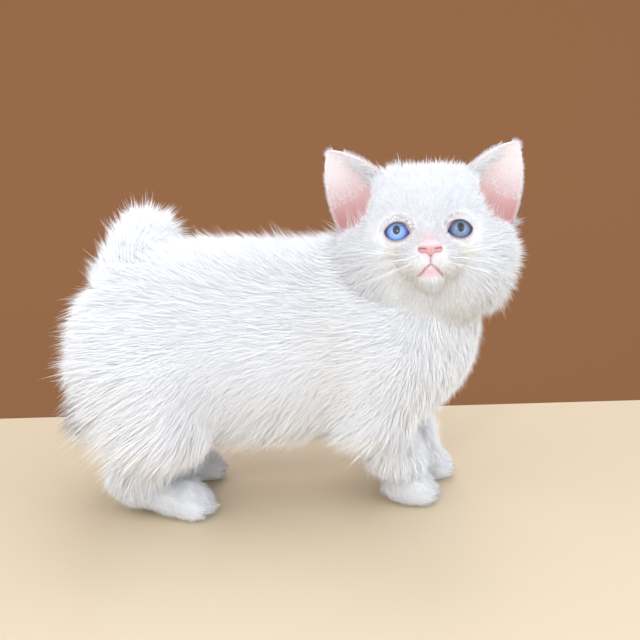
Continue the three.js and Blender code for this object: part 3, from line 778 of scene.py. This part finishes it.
# one blue iris in two tones: the left eye's is painted greyer and darker, a painted reflection
makeEye(-1, paintEye("eyeBlue", -1, (0.28, 0.44, 0.70), (0.13, 0.26, 0.57), (0.02, 0.045, 0.14)))
makeEye(1, paintEye("eyeBlueWithPaintedReflection", 1, (0.18, 0.25, 0.35), (0.09, 0.145, 0.25), (0.02, 0.035, 0.08)))

# Lid rims: a closed curve round each opening, with a round section, dark above and outside, pink at the nose
lidMaterial = tintedMaterial("lidRim", "rimTint", {"Roughness": 0.35})
for side in sides:
    outline = lidOutline(side, 36)
    across, up, ahead = lidFrame(side)
    radius = eyeSettings["radius"] + lidSettings["lift"] - 0.1
    depth = np.sqrt(np.maximum(radius**2 - (outline**2).sum(axis=1), 0.5))
    ring = eyePlace(side) + outline[:, :1] * across + outline[:, 1:] * up + depth[:, None] * ahead
    rimCurve = bpy.data.curves.new("lidLine", "CURVE")
    rimCurve.dimensions = "3D"
    rimCurve.bevel_depth = lidSettings["rimRadius"]
    rimCurve.bevel_resolution = 2
    line = rimCurve.splines.new("POLY")
    line.points.add(len(ring) - 1)
    line.use_cyclic_u = True
    for point, at, (_, height) in zip(line.points, outOfHead(ring), outline):
        point.co = (*at, 1)
        point.radius = mix(0.75, 1.15, float(smooth(height, -2, 2)))
    holder = bpy.data.objects.new("lidLine", rimCurve)
    mesh = bpy.data.meshes.new_from_object(holder)
    bpy.data.objects.remove(holder)
    points = readRows(mesh.vertices)
    own = intoHead(points) - eyePlace(side)
    rimTint = np.tile(colour["lidLine"], (len(points), 1))
    rimTint = lay(rimTint, "lidCorner", smooth(own @ across * side, -2.6, -5.0))
    rimTint = lay(rimTint, "lidBelow", 0.7 * smooth(own @ up, -1.0, -3.2))
    writeColour(mesh, "rimTint", rimTint)
    writePoints(mesh, toFrame(points))
    mesh.materials.clear()
    mesh.shade_smooth()
    linkPiece("lid_" + sides[side], mesh, lidMaterial)


# Nose leather with its nostril commas
noseSettings = {"forward": 35.2, "up": -7.9, "dent": 0.6, "cleft": 0.35}
nostrilCurve = [(1.9, 2.2, -0.9), (1.6, 3.1, -0.5), (0.9, 4.2, -0.2), (-0.2, 5.0, -0.2)]


def noseAt(x, y, z):
    return (noseSettings["forward"] + x, y, noseSettings["up"] + z)


noseForm = blend(
    1.2,
    oval(noseAt(0, 0, 0.3), (2.6, 3.4, 1.9), inHead=True),
    *bothSides(noseAt(-0.9, 2.9, -0.2), (2.5, 2, 1.7)),
    oval(noseAt(-0.5, 0, -1.6), (2.3, 1.3, 1.5), inHead=True),
)
leather = bmesh.new()
nosePlace = Matrix.Translation(noseAt(-0.6, 0, 0))
bmesh.ops.create_icosphere(leather, subdivisions=6, radius=4.2, matrix=nosePlace)
mesh = meshFrom(leather, "noseLeather")
points = easeOnto(noseForm, readRows(mesh.vertices), 8, 1.0)
nostrils = [np.array([noseAt(x, side * y, z) for x, y, z in nostrilCurve]) for side in sides]
nostrilGap = np.minimum(*[toLine(points, line)[0] for line in nostrils])
dent = noseSettings["dent"] * np.exp(-((nostrilGap / 0.62) ** 2))
points -= unit(slopeOf(noseForm, points)) * dent[:, None]
cleft = np.exp(-((points[:, 1] / 0.3) ** 2)) * smooth(points[:, 2], -7.9, -9.3)
points[:, 0] -= noseSettings["cleft"] * cleft
noseTint = np.tile(colour["nose"], (len(points), 1))
noseTint = lay(noseTint, "noseTop", smooth(points[:, 2], -7.9, -6.3))
# painted shade inside the nostrils and in the cleft under the nose
noseTint = lay(noseTint, "nostril", 0.92 * np.exp(-((nostrilGap / 0.55) ** 2)))
noseTint = lay(noseTint, "noseCleft", 0.4 * cleft)
writeColour(mesh, "noseTint", noseTint)
writePoints(mesh, toFrame(outOfHead(points)))
mesh.shade_smooth()
noseMaterial = tintedMaterial(
    "noseLeather", "noseTint", {"Roughness": 0.42}, "TexVoronoi", {"Scale": 2600}, 0.35, 0.0001
)
linkPiece("nose_leather", mesh, noseMaterial, ["nose"])


# Ears: a cup rolled from a grid, given its thickness
earSettings = {"height": 32, "halfWidth": 15, "thickness": 1.1, "sink": 3.5, "sweep": (1.25, 0.5)}


def earAxes(side):
    base = np.array((6, side * 25, 15), float)
    axis = unit(np.array((-8, side * 16.5, 28), float))
    opening = np.array((0.9, side * 0.34, -0.12))
    opening = unit(opening - axis * (opening @ axis))
    return base, axis, opening, np.cross(opening, axis)


def earPoint(side, s, t, out=0.0):
    # s from -1 to 1 across, t from 0 at the root to 1 at the tip
    base, axis, opening, across = earAxes(side)
    half = earSettings["halfWidth"] * np.maximum(0.02, (1 - t**1.9)) ** 0.8
    sweep = mix(*earSettings["sweep"], t)
    roundness = np.maximum(half, 0.35) / np.sin(sweep)
    radius = roundness + out
    deep = radius * np.cos(s * sweep) - roundness * np.cos(sweep)
    rise = mix(-earSettings["sink"], earSettings["height"], t)
    wide = (radius * np.sin(s * sweep))[:, None] * across
    return base + rise[:, None] * axis + wide - deep[:, None] * opening


earMaterial = tintedMaterial(
    "earSkin", "earTint",
    {"Roughness": 0.55, "Subsurface Weight": 0.25, "Subsurface Radius": (0.0035, 0.0012, 0.0008)},
    "TexNoise", {"Scale": 420, "Detail": 5}, 0.3, 0.0003,
)
for side in sides:
    name = "ear_" + sides[side]
    cup = bmesh.new()
    bmesh.ops.create_grid(cup, x_segments=40, y_segments=48, size=1)
    flat = np.array([v.co[:] for v in cup.verts])
    shaped = earPoint(side, flat[:, 0], (flat[:, 1] + 1) / 2)
    for vert, co in zip(cup.verts, outOfHead(shaped)):
        vert.co = co
    bmesh.ops.recalc_face_normals(cup, faces=cup.faces)
    mesh = meshFrom(cup, name + "_cup")
    writePoints(mesh, toFrame(readRows(mesh.vertices)))
    piece = linkPiece(name + "_cup", mesh, earMaterial, [name])
    wall = piece.modifiers.new("wall", "SOLIDIFY")
    wall.thickness = earSettings["thickness"] * mm
    wall.offset = 0
    mesh = shapedMesh(piece)
    piece.modifiers.clear()
    piece.data = mesh
    base, axis, opening, across = earAxes(side)
    local = intoHead(readRows(mesh.vertices) / mm - bodyShift) - base
    inner = smooth(local @ across * -side, -9, 7)
    deepness = smooth(local @ axis / earSettings["height"], 0.8, 0.1) * mix(0.35, 1.0, inner)
    inTint = lay(np.tile(colour["earTip"], (len(local), 1)), "earDeep", deepness)
    facing = smooth(readRows(mesh.vertices, "normal") @ (headTurn @ opening), -0.1, 0.25)
    writeColour(mesh, "earTint", mix(colour["white"] * 0.85, inTint, facing[:, None]))
    mesh.shade_smooth()


# The coat
coatSettings = {
    # tufts, strands in a tuft, strand radius, tuft spread, how far a tuft draws together, undercoat strands
    "face": (2400, 4, 0.08, 1.0, 0.10, 12000),
    "crown": (1200, 5, 0.09, 1.6, 0.15, 11000),
    "neck": (1100, 6, 0.10, 2.2, 0.15, 14000),
    "chest": (1400, 6, 0.10, 2.4, 0.15, 22000),
    "flank": (1400, 6, 0.10, 2.4, 0.15, 24000),
    "loin": (1400, 6, 0.10, 2.4, 0.15, 24000),
    "rump": (1700, 6, 0.11, 2.4, 0.3, 19000),
    "legs": (1000, 5, 0.10, 1.7, 0.2, 12000),
    "paws": (700, 5, 0.08, 0.9, 0.1, 10000),
    "tail": (1000, 6, 0.12, 2.0, 0.3, 6500),
}
underSettings = {"length": 0.85, "lift": 33, "girth": 1.1}
straySettings = {"share": 0.2, "longer": 0.22, "raised": 0.14}
liftSettings = {  # degrees off the skin, at a strand's root and at its tip, each from least to most
    "face": ((24.0, 38.0), (10.0, 18.0)),
    "body": ((38.0, 48.0), (16.0, 28.0)),
    "tail": (64.0, 46.0),
    "low": (30, 10),
}
patchSize = 0.003  # of each strand in the UV map


def wave(points, scale, turn):
    # a smooth value from -1 to 1 that wanders with place
    a, b, c = turn
    x, y, z = points.T / scale
    return (
        np.sin(x + 1.7 * np.sin(y + a) + b)
        + np.sin(y * 1.3 + 1.5 * np.sin(z + b) + c)
        + np.sin(z * 1.1 + 1.6 * np.sin(x + c) + a)
    ) / 3


def vary(count, share, low=0.6, high=1.5):
    # factors about 1
    return (1 + share * chance.standard_normal(count)).clip(low, high)


def swirled(way, normals, angle):
    return unit(way * np.cos(angle)[:, None] + np.cross(normals, way) * np.sin(angle)[:, None])


def tailShare(points):
    # the gap to the tail's own line, how far along it that is, and the way the tail runs there
    gaps = np.linalg.norm(points[:, None] - tailLine[None], axis=2)
    nearest = gaps.argmin(axis=1)
    runs = unit(np.gradient(tailLine, axis=0))
    return gaps.min(axis=1), nearest / (len(tailLine) - 1), runs[nearest]


def bodyLie(points):
    # back along the trunk, down the breast and legs, forward over the paws
    low = smooth(points[:, 2], 88, 46)
    front = smooth(points[:, 0], 34, 66)
    leg = smooth(points[:, 2], 40, 24)
    side, ones = np.sign(points[:, 1]), np.ones(len(points))
    back = np.column_stack([-ones, 0.12 * side, 0.12 - 0.85 * low])
    down = np.column_stack([-0.15 * ones, 0.1 * side, -ones])
    way = mix(back, down, np.maximum(front, leg)[:, None])
    return mix(way, np.array((1, 0, -0.25)), smooth(points[:, 2], 14, 6)[:, None])


def faceLie(points):
    # away from the nose, up over the brow and back over the cheeks, and round the eyes
    away = points - np.array((37.0, 0, -7.0))
    parted, ones = 0.5 * np.clip(points[:, 1] / 20, -1, 1), np.ones(len(points))
    back = np.column_stack([-ones, parted, -0.25 * ones])
    way = mix(unit(away), unit(back), (0.7 * smooth(points[:, 0], 14, -8))[:, None])
    way[:, 2] -= smooth(points[:, 2], -10, -20) * 0.6
    for side in sides:
        reach, own = lidReach(points, side)
        way = mix(way, unit(own + (0, 0, 0.5)), (1 - smooth(reach, 1.1, 2.2))[:, None])
    return way


skinMesh.calc_loop_triangles()
corner = np.zeros(len(skinMesh.loop_triangles) * 3, np.int32)
skinMesh.loop_triangles.foreach_get("vertices", corner)
corner = corner.reshape(-1, 3)
first, second, third = skinPoints[corner].transpose(1, 0, 2)
triangleMiddle = skinPoints[corner].mean(axis=1)
triangleSize = np.linalg.norm(np.cross(second - first, third - first), axis=1) / 2


def regionOf(points):
    # the coat piece that each place on the skin belongs to
    head = intoHead(points)
    onHead = faceForm(head) < 1.5
    gap, _, _ = tailShare(points)
    names = np.full(len(points), "flank", dtype=object)
    x, z = points[:, 0], points[:, 2]
    names[x < -12] = "loin"
    names[x < -48] = "rump"
    names[x > 22] = "chest"
    names[(x > 22) & (z > 84)] = "neck"
    names[z < 30] = "legs"
    names[z < 14] = "paws"
    names[(gap < 11) & (z > 96)] = "tail"
    names[onHead] = "crown"
    names[onHead & (head[:, 0] > 9)] = "face"
    return names


regions = regionOf(triangleMiddle)


def isBare(points):
    # the eyes, the nose leather, the mouth line and the lower lip grow no fur
    head = intoHead(points)
    bare = (noseForm(head) < 0.1) | ((earHollow(head) < 0.3) & (head[:, 0] > -14))
    for side in sides:
        bare |= lidReach(head, side)[0] < 1.06
    lip = (np.abs(head[:, 1]) < 3.4) & (head[:, 2] < -14.6) & (head[:, 2] > -18.4) & (head[:, 0] > 24)
    return bare | ((toMouth(head) < 0.6) & (head[:, 0] > 20)) | lip


def rootsOn(name, count):
    # random places on a piece's skin, without the bare ones; the muzzle gets more than its share
    own = np.where(regions == name)[0]
    weight = triangleSize[own].copy()
    if name == "face":
        weight *= 1 + 1.2 * smooth(intoHead(triangleMiddle[own])[:, 0], 20, 30)
    picks = chance.choice(own, size=count, p=weight / weight.sum())
    a, b = chance.random((2, count))
    flip = a + b > 1
    a, b = np.where(flip, 1 - a, a), np.where(flip, 1 - b, b)
    first, second, third = skinPoints[corner[picks]].transpose(1, 0, 2)
    roots = first + a[:, None] * (second - first) + b[:, None] * (third - first)
    return roots[~isBare(roots)]


def unwrap(name, points):
    # the skin's own unwrap for this piece: round the body's axis, the head's, each leg's or the tail's
    if name in ("face", "crown"):
        head = intoHead(points)
        around = np.arctan2(head[:, 1], head[:, 0] if name == "face" else -head[:, 0])
        height = np.arcsin(np.clip(head[:, 2] / np.maximum(np.linalg.norm(head, axis=1), 1e-6), -1, 1))
        flat = np.column_stack([around, height])
    elif name in ("legs", "paws"):
        best, around = np.full(len(points), 1e3), np.zeros(len(points))
        for i, (ankle, palm, _) in enumerate(legPaws):
            own = points - mix(palm, ankle, np.clip(points[:, 2] / ankle[2], 0, 1.3)[:, None])
            gap = np.linalg.norm(own[:, :2], axis=1)
            turned = (np.arctan2(own[:, 1], own[:, 0]) / (2 * math.pi) + 0.5 + i) / len(legPaws)
            around = np.where(gap < best, turned, around)
            best = np.minimum(gap, best)
        flat = np.column_stack([around, best if name == "paws" else points[:, 2]])
    elif name == "tail":
        _, share, _ = tailShare(points)
        own = points - tailLine[(share * (len(tailLine) - 1)).round().astype(int)]
        flat = np.column_stack([share * 2, np.arctan2(own[:, 2], own[:, 0] + 0.3 * own[:, 1])])
    else:
        flat = np.column_stack([points[:, 0] / 40, np.arctan2(points[:, 1], points[:, 2] - 72)])
    low, high = flat.min(axis=0), flat.max(axis=0)
    return 0.01 + 0.98 * (flat - low) / np.maximum(high - low, 1e-6)


def strandShape(name, roots):
    # the skin's normals, the way each strand lies, its length, its lifts at root and tip, and its droop
    normals = unit(slopeOf(skinForm, roots))
    x, _, z = roots.T
    ones = np.ones(len(roots))
    if name in ("face", "crown"):
        head = intoHead(roots)
        depth = faceDepth(head)
        way = faceLie(head) @ headTurn.T
        toLid = np.minimum(*[lidReach(head, side)[0] for side in sides])
        length = (1.5 + depth * 1.15) * mix(0.5, 1.0, smooth(toLid, 1.0, 2.4))
        length *= mix(0.55, 1.0, smooth(toMouth(head), 1.0, 5.0))
        top = smooth(head[:, 2], 14, 25) * smooth(head[:, 0], 26, 16)
        length += 1.6 * top
        rootLift, tipLift = [mix(*ends, smooth(depth, 2.5, 6.5)) for ends in liftSettings["face"]]
        rootLift, tipLift = rootLift + 20 * top, tipLift + 24 * top
        droop = 0.10 * smooth(depth, 3, 6.5)
    elif name == "tail":
        _, share, way = tailShare(roots)
        length = coatDepth["tail"] * mix(0.95, 1.3, share) + 9 * smooth(share, 0.7, 1)
        rootLift, tipLift = [lift * ones for lift in liftSettings["tail"]]
        droop = 0.05 * ones
    else:
        depth = bodyDepth(roots)
        way = bodyLie(roots)
        rear, top, low = smooth(x, -45, -80), smooth(z, 92, 108), smooth(z, 34, 16)
        skirt = smooth(x, -50, -66) * smooth(z, 62, 48) * smooth(z, 18, 30)
        shank = 1 + 0.4 * smooth(x, -20, -40) * smooth(z, 10, 18)
        length = depth * 1.5 * mix(mix(1, 0.8, rear), 0.72, smooth(x, 52, 72)) * (1 + 0.6 * skirt)
        length = mix(length, (depth * 1.5 + 1.5) * shank, low)
        rootLift, tipLift = [mix(*ends, rear) for ends in liftSettings["body"]]
        rootLift = mix(rootLift + 14 * top, liftSettings["low"][0], low)
        tipLift = mix(tipLift + 20 * top, liftSettings["low"][1], low)
        droop = 0.22 * smooth(z, 60, 38) * smooth(z, 16, 30)
    way = unit(way - normals * (way * normals).sum(axis=1)[:, None])
    return normals, way, length, np.radians(rootLift), np.radians(tipLift), droop


furMaterial = tintedMaterial(
    "whiteFur", "colourAndPaintedLight",
    {"Roughness": 0.8, "Specular IOR Level": 0.1, "Sheen Weight": 0.25, "Sheen Roughness": 0.6},
)


def sweepStrands(axis, normals, girths, corners, tint, round=0.0):
    # a closed three-sided spike along each row of places; its last place is the tip
    # its light follows the skin where it lies flat, and its own round form where it stands up
    steps = len(axis) - 1
    rings, ownShare = [], []
    for i in range(steps):
        onward = unit(axis[i + 1] - axis[i])
        across = unit(np.cross(onward, normals))
        rise = np.cross(across, onward)
        thick = girths * (1 - 0.4 * i / steps)
        flat = smooth((rise * normals).sum(axis=1), 0.45, 0.9)
        ownShare += [np.maximum(mix(0.75, 0.1 + 0.1 * i, flat), round)] * 3
        for wide, high in ((-1.0, -0.35), (1.0, -0.35), (0.0, 0.75)):
            rings.append(axis[i] + across * (thick * wide)[:, None] + rise * (thick * high)[:, None])
    rings.append(axis[-1])
    ownShare.append(np.maximum(ownShare[-1], 0.3))
    perStrand, count, last = len(rings), len(girths), 3 * (steps - 1)
    points = np.stack(rings, axis=1).reshape(-1, 3)
    points[:, 2] = np.maximum(points[:, 2], 0.25)
    pattern = [(0, 1, 2)]
    for a in range(0, last, 3):
        for k in range(3):
            p, q = a + k, a + (k + 1) % 3
            pattern += [(q + 3, q, p), (p + 3, q + 3, p)]
    pattern += [(perStrand - 1, last + (k + 1) % 3, last + k) for k in range(3)]
    faces = (np.array(pattern)[None] + (np.arange(count) * perStrand)[:, None, None]).reshape(-1, 3)
    along = np.concatenate([np.repeat(np.linspace(0, 1, steps, endpoint=False), 3), [1.0]])
    aside = np.concatenate([np.tile((0, 1, 0.5), steps), [0.5]])
    patch = (np.column_stack([aside, along]) - 0.5) * patchSize
    flat = (corners[:, None] + patch[None]).reshape(-1, 2)
    tint, normals = [np.repeat(rows, perStrand, axis=0) for rows in (tint, normals)]
    return points, faces, tint, flat, normals, np.stack(ownShare, axis=1).reshape(-1, 1)


def joinStrands(name, parts):
    starts = np.cumsum([0] + [len(part[0]) for part in parts])
    faces = np.concatenate([part[1] + start for part, start in zip(parts, starts)])
    points, tint, flat, normals, own = [np.concatenate([part[k] for part in parts]) for k in (0, 2, 3, 4, 5)]
    mesh = bpy.data.meshes.new("coat_" + name)
    mesh.vertices.add(len(points))
    mesh.vertices.foreach_set("co", toFrame(points).astype(np.float32).ravel())
    mesh.loops.add(faces.size)
    mesh.loops.foreach_set("vertex_index", faces.astype(np.int32).ravel())
    mesh.polygons.add(len(faces))
    mesh.polygons.foreach_set("loop_start", np.arange(0, faces.size, 3, dtype=np.int32))
    mesh.update()
    writeColour(mesh, "colourAndPaintedLight", tint.clip(0, 1))
    layer = mesh.uv_layers.new(name="OFBake")
    layer.data.foreach_set("uv", flat[faces.ravel()].astype(np.float32).ravel())
    mesh.shade_smooth()
    skinward = normals + np.array((0, 0, 0.3))
    soft = unit((1 - own) * skinward + own * readRows(mesh.vertices, "normal"))
    mesh.normals_split_custom_set_from_vertices(soft.astype(np.float32))
    linkPiece("coat_" + name, mesh, furMaterial)
    print("coat", name, len(faces), "triangles")
    return len(faces)


def bentLine(root, normals, way, size, low, high, drop, steps):
    # places along strands that leave the skin at one angle and end at another
    start, end = [way * np.cos(lift)[:, None] + normals * np.sin(lift)[:, None] for lift in (low, high)]
    end = end - np.array((0, 0, 1.0)) * drop[:, None]
    shares = np.linspace(0, 1, steps + 1)
    return [root + size[:, None] * (s * start + 0.5 * s * s * (end - start)) for s in shares]


def cheekShare(name, roots):
    # how much of its own round form the hair of the cheeks shows
    onHead = name in ("face", "crown")
    return 0.5 * onHead * smooth(faceDepth(intoHead(roots)), 4, 6)


def growTufts(name):
    tufts, each, radius, spread, pull, _ = coatSettings[name]
    heads = rootsOn(name, tufts)
    normals, way, length, rootLift, tipLift, droop = strandShape(name, heads)
    swirl = 0.20 * wave(heads, 14, (0.3, 1.9, 4.1)) + 0.12 * chance.standard_normal(len(heads))
    way = swirled(way, normals, swirl)
    lift = 1 + 0.14 * wave(heads, 9, (2.2, 0.4, 3.0)) + 0.12 * chance.standard_normal(len(heads))
    stray = (chance.random(len(heads)) < straySettings["share"]) * (name not in ("face", "paws"))
    lift = lift + straySettings["raised"] * stray
    length = length * (1 + 0.10 * wave(heads, 14, (1.1, 3.3, 0.2)) + straySettings["longer"] * stray)

    # strands of each tuft: spread about its root, and drawn together towards its tip
    owner = np.repeat(np.arange(len(heads)), each)
    angle = chance.random(len(owner)) * 2 * math.pi
    reach = np.sqrt(chance.random(len(owner))) * spread
    side = np.cross(normals, way)
    roots = heads[owner] + way[owner] * (reach * np.cos(angle))[:, None]
    roots = easeOnto(skinForm, roots + side[owner] * (reach * np.sin(angle))[:, None], 1, 3.0)
    keepers = ~isBare(roots)
    roots, owner = roots[keepers], owner[keepers]
    count = len(owner)
    n, tuftWay, droop = normals[owner], way[owner], droop[owner]
    rootLift, tipLift = (rootLift * lift)[owner], (tipLift * lift)[owner]
    strandWay = swirled(tuftWay, n, 0.14 * chance.standard_normal(count))
    size = length[owner] * vary(count, 0.16, 0.55, 1.45)
    low = rootLift + 0.10 * chance.standard_normal(count)
    high = tipLift + 0.14 * chance.standard_normal(count)
    own = bentLine(roots - n * 0.5, n, strandWay, size, low, high, droop, 2)
    shared = bentLine(heads[owner], n, tuftWay, size, rootLift, tipLift, droop, 2)
    axis = [a + (b - a) * pull * s**1.3 for a, b, s in zip(own, shared, (0, 0.5, 1))]
    girths = radius * vary(count, 0.2)
    tint = colourAndPaintedLight(heads)[owner] * (1 + 0.015 * chance.standard_normal((count, 1)))
    return sweepStrands(axis, n, girths, unwrap(name, heads)[owner], tint, cheekShare(name, heads)[owner])


def growUndercoat(name):
    # straight strands, one by one
    roots = rootsOn(name, coatSettings[name][5])
    count = len(roots)
    normals, way, length, _, _, _ = strandShape(name, roots)
    swirl = 0.20 * wave(roots, 14, (0.3, 1.9, 4.1)) + 0.25 * chance.standard_normal(count)
    way = swirled(way, normals, swirl)
    size = underSettings["length"] * length * vary(count, 0.2, 0.5, 1.5)
    lift = np.radians(underSettings["lift"] * (1 + 0.3 * chance.standard_normal(count)))
    axis = bentLine(roots - normals * 0.3, normals, way, size, lift, lift, np.zeros(count), 1)
    girths = underSettings["girth"] * coatSettings[name][2] * vary(count, 0.2)
    return sweepStrands(axis, normals, girths, unwrap(name, roots), colourAndPaintedLight(roots), cheekShare(name, roots))


print("growing the coat")
coatTriangles = sum(joinStrands(name, [growTufts(name), growUndercoat(name)]) for name in coatSettings)

# Fur of the ears: short on their backs, a fringe at their edges, longer hairs across from the inner edge
earFur = {
    # strands, s from and to, t from and to, which wall, length, girth, way up, way out
    "back": (2600, (-0.98, 0.98), (0.02, 0.99), "outer", 2.4, 0.09, 1.0, 0.2),
    "innerEdge": (1300, (0.80, 1.0), (-0.05, 0.97), "edge", 2.2, 0.07, 0.9, 0.35),
    "outerEdge": (1000, (-1.0, -0.95), (-0.1, 0.97), "edge", 1.4, 0.07, 0.9, 0.4),
    "across": (1300, (0.55, 0.99), (-0.1, 0.85), "inner", 5.0, 0.055, 0.9, -0.7),
    "root": (1000, (-0.9, 0.9), (-0.2, 0.1), "inner", 8.0, 0.06, 1.0, -0.1),
    "skirt": (700, (-1.0, -0.5), (-0.2, 0.16), "edge", 6.0, 0.08, 0.5, 0.6),
    "down": (1300, (-0.98, 0.98), (0.35, 0.99), "inner", 1.6, 0.05, 1.0, 0.35),
    "tip": (160, (-0.9, 0.9), (0.93, 1.0), "edge", 2.6, 0.07, 1.0, 0.0),
}
earWalls = {  # lifts at root and tip in degrees, how far out from the cup's middle, steps, share of white
    "outer": (26, 12, 0.45, 1, 0.86),
    "edge": (10, 4, 0.0, 2, 0.86),
    "inner": (42, 20, -0.45, 2, 0.97),
}


def earHairs(side, settings):
    # s runs to the ear's inner edge, whichever side the ear is on
    count, (sFrom, sTo), (tFrom, tTo), wall, length, girth, wayUp, wayOut = settings
    rootLift, tipLift, out, steps, white = earWalls[wall]
    s = mix(sFrom, sTo, chance.random(count)) * side
    t = tFrom + (tTo - tFrom) * (1 - np.sqrt(1 - 0.98 * chance.random(count)))
    _, up, opening, across = earAxes(side)
    sweep = mix(*earSettings["sweep"], t)
    outward = np.sin(s * sweep)[:, None] * across - np.cos(s * sweep)[:, None] * opening
    sideways = np.cos(s * sweep)[:, None] * across + np.sin(s * sweep)[:, None] * opening
    way = wayUp * up + wayOut * np.sign(s)[:, None] * sideways
    way = unit(way + 0.22 * chance.standard_normal((count, 3)))
    n = -outward if wall == "inner" else outward
    way = unit(way - n * (way * n).sum(axis=1)[:, None])
    size = length * vary(count, 0.25, 0.4, 1.7)
    low = np.radians(rootLift) + 0.12 * chance.standard_normal(count)
    high = np.radians(tipLift) + 0.12 * chance.standard_normal(count)
    girths = girth * vary(count, 0.2)
    keep = t >= 0  # none grows from below the cup's root
    s, t, n, way, size, low, high, girths = [v[keep] for v in (s, t, n, way, size, low, high, girths)]
    axis = bentLine(earPoint(side, s, t, out), n, way, size, low, high, np.zeros(len(s)), steps)
    corners = np.column_stack([0.25 + 0.5 * (side > 0) + 0.23 * s, 0.1 + 0.86 * t])
    tint = np.tile(colour["white"] * white, (len(s), 1))
    return sweepStrands([outOfHead(row) for row in axis], n @ headTurn.T, girths, corners, tint, 0.85)


coatTriangles += joinStrands("ears", [earHairs(side, own) for side in sides for own in earFur.values()])

# Whiskers on both pads and over the eyes
whiskerSettings = {"length": 20, "girth": 0.038, "rows": 3, "inRow": 4, "overEye": 3}
roots, ways, sizes = [], [], []
for side in sides:
    for row in range(whiskerSettings["rows"]):
        for i in range(whiskerSettings["inRow"]):
            roots.append((side * (5.5 + 1.5 * i), -9.4 - 1.9 * row - 0.3 * i))
            ways.append((0.35 - 0.16 * i, side * 1.0, 0.02 - 0.22 * row + 0.05 * i))
            sizes.append(1 + 0.12 * i - 0.08 * row)
    for i in range(whiskerSettings["overEye"]):
        roots.append((side * (8.2 + 1.6 * i), 7.6 + 0.4 * i))
        ways.append((0.5, side * (0.25 + 0.15 * i), 0.75))
        sizes.append(0.55)
roots, ways, sizes = onFace(roots), unit(np.array(ways)), np.array(sizes) * whiskerSettings["length"]
ways = unit(ways + 0.06 * chance.standard_normal(ways.shape))
ahead = np.array((1.0, 0, 0.1))
ahead = unit(ahead - ways * (ways @ ahead)[:, None])
ones = np.ones(len(sizes))
axis = bentLine(roots, ahead, ways, sizes, 0.18 * ones, -0.12 * ones, 0.10 * smooth(roots[:, 2], 0, -8), 5)
whiskers = sweepStrands(
    [outOfHead(row) for row in axis],
    ahead @ headTurn.T,
    whiskerSettings["girth"] * ones,
    roots[:, 1:] / 40 + 0.5,
    np.tile(colour["white"], (len(sizes), 1)),
)
coatTriangles += joinStrands("whiskers", [whiskers])
print("coat has", coatTriangles, "triangles")


# Stage: a pale floor, a warm plain backdrop, and soft light; sizes in metres
stageSettings = {
    "floorBack": 0.1, "floorHalf": (1.6, 1.2), "floorDown": 0.0005, "wallBack": 1.5, "wallHalf": 3,
}


def stagePlane(name, place, finish, tint, roughness):
    work = bmesh.new()
    bmesh.ops.create_grid(work, x_segments=1, y_segments=1, size=1, matrix=place)
    mesh = meshFrom(work, name)
    mesh.materials.append(newMaterial(finish, {"Base Color": (*tint, 1), "Roughness": roughness})[0])
    return addObject(name, mesh)


floorMiddle = stageSettings["floorBack"] - stageSettings["floorHalf"][1]
floorPlace = Matrix.Translation((0, floorMiddle, -stageSettings["floorDown"]))
floorPlace = floorPlace @ Matrix.Diagonal((*stageSettings["floorHalf"], 1, 1))
wallPlace = Matrix.Translation((0, stageSettings["wallBack"], 0)) @ Matrix.Rotation(math.radians(90), 4, "X")
wallPlace = wallPlace @ Matrix.Scale(stageSettings["wallHalf"], 4)
floorPiece = stagePlane("floor", floorPlace, "paleFloor", (0.60, 0.49, 0.34), 0.5)
wall = stagePlane("wall", wallPlace, "warmWall", (0.24, 0.095, 0.03), 0.9)

lightSettings = {
    "key": {"place": (-0.45, -0.75, 0.65), "size": 1.5, "power": 4.7, "colour": (0.97, 0.985, 1.0)},
    "fill": {"place": (0.75, -0.65, 0.40), "size": 0.9, "power": 3.4, "colour": (0.92, 0.96, 1.0)},
    "back": {"place": (0.1, 0.55, 0.75), "size": 0.8, "power": 4, "colour": (0.95, 0.97, 1.0)},
    "glint": {"place": (-0.16, -0.60, 0.42), "size": 0.09, "power": 1.2, "colour": (1.0, 1.0, 1.0)},
}
for name, values in lightSettings.items():
    lamp = bpy.data.lights.new(name, "AREA")
    lamp.shape = "DISK"
    lamp.size = values["size"]
    lamp.energy = values["power"]
    lamp.color = values["colour"]
    light = addObject(name, lamp)
    light.location = values["place"]
    aim = Vector((0, 0, 0.08)) - Vector(values["place"])
    light.rotation_euler = aim.to_track_quat("-Z", "Y").to_euler()
world = bpy.data.worlds.new("world")
world.use_nodes = True
fill(world.node_tree.nodes["Background"], {"Color": (0.84, 0.90, 1.0, 1), "Strength": 1.3})
bpy.context.scene.world = world
bpy.context.scene.view_settings.view_transform = "Standard"
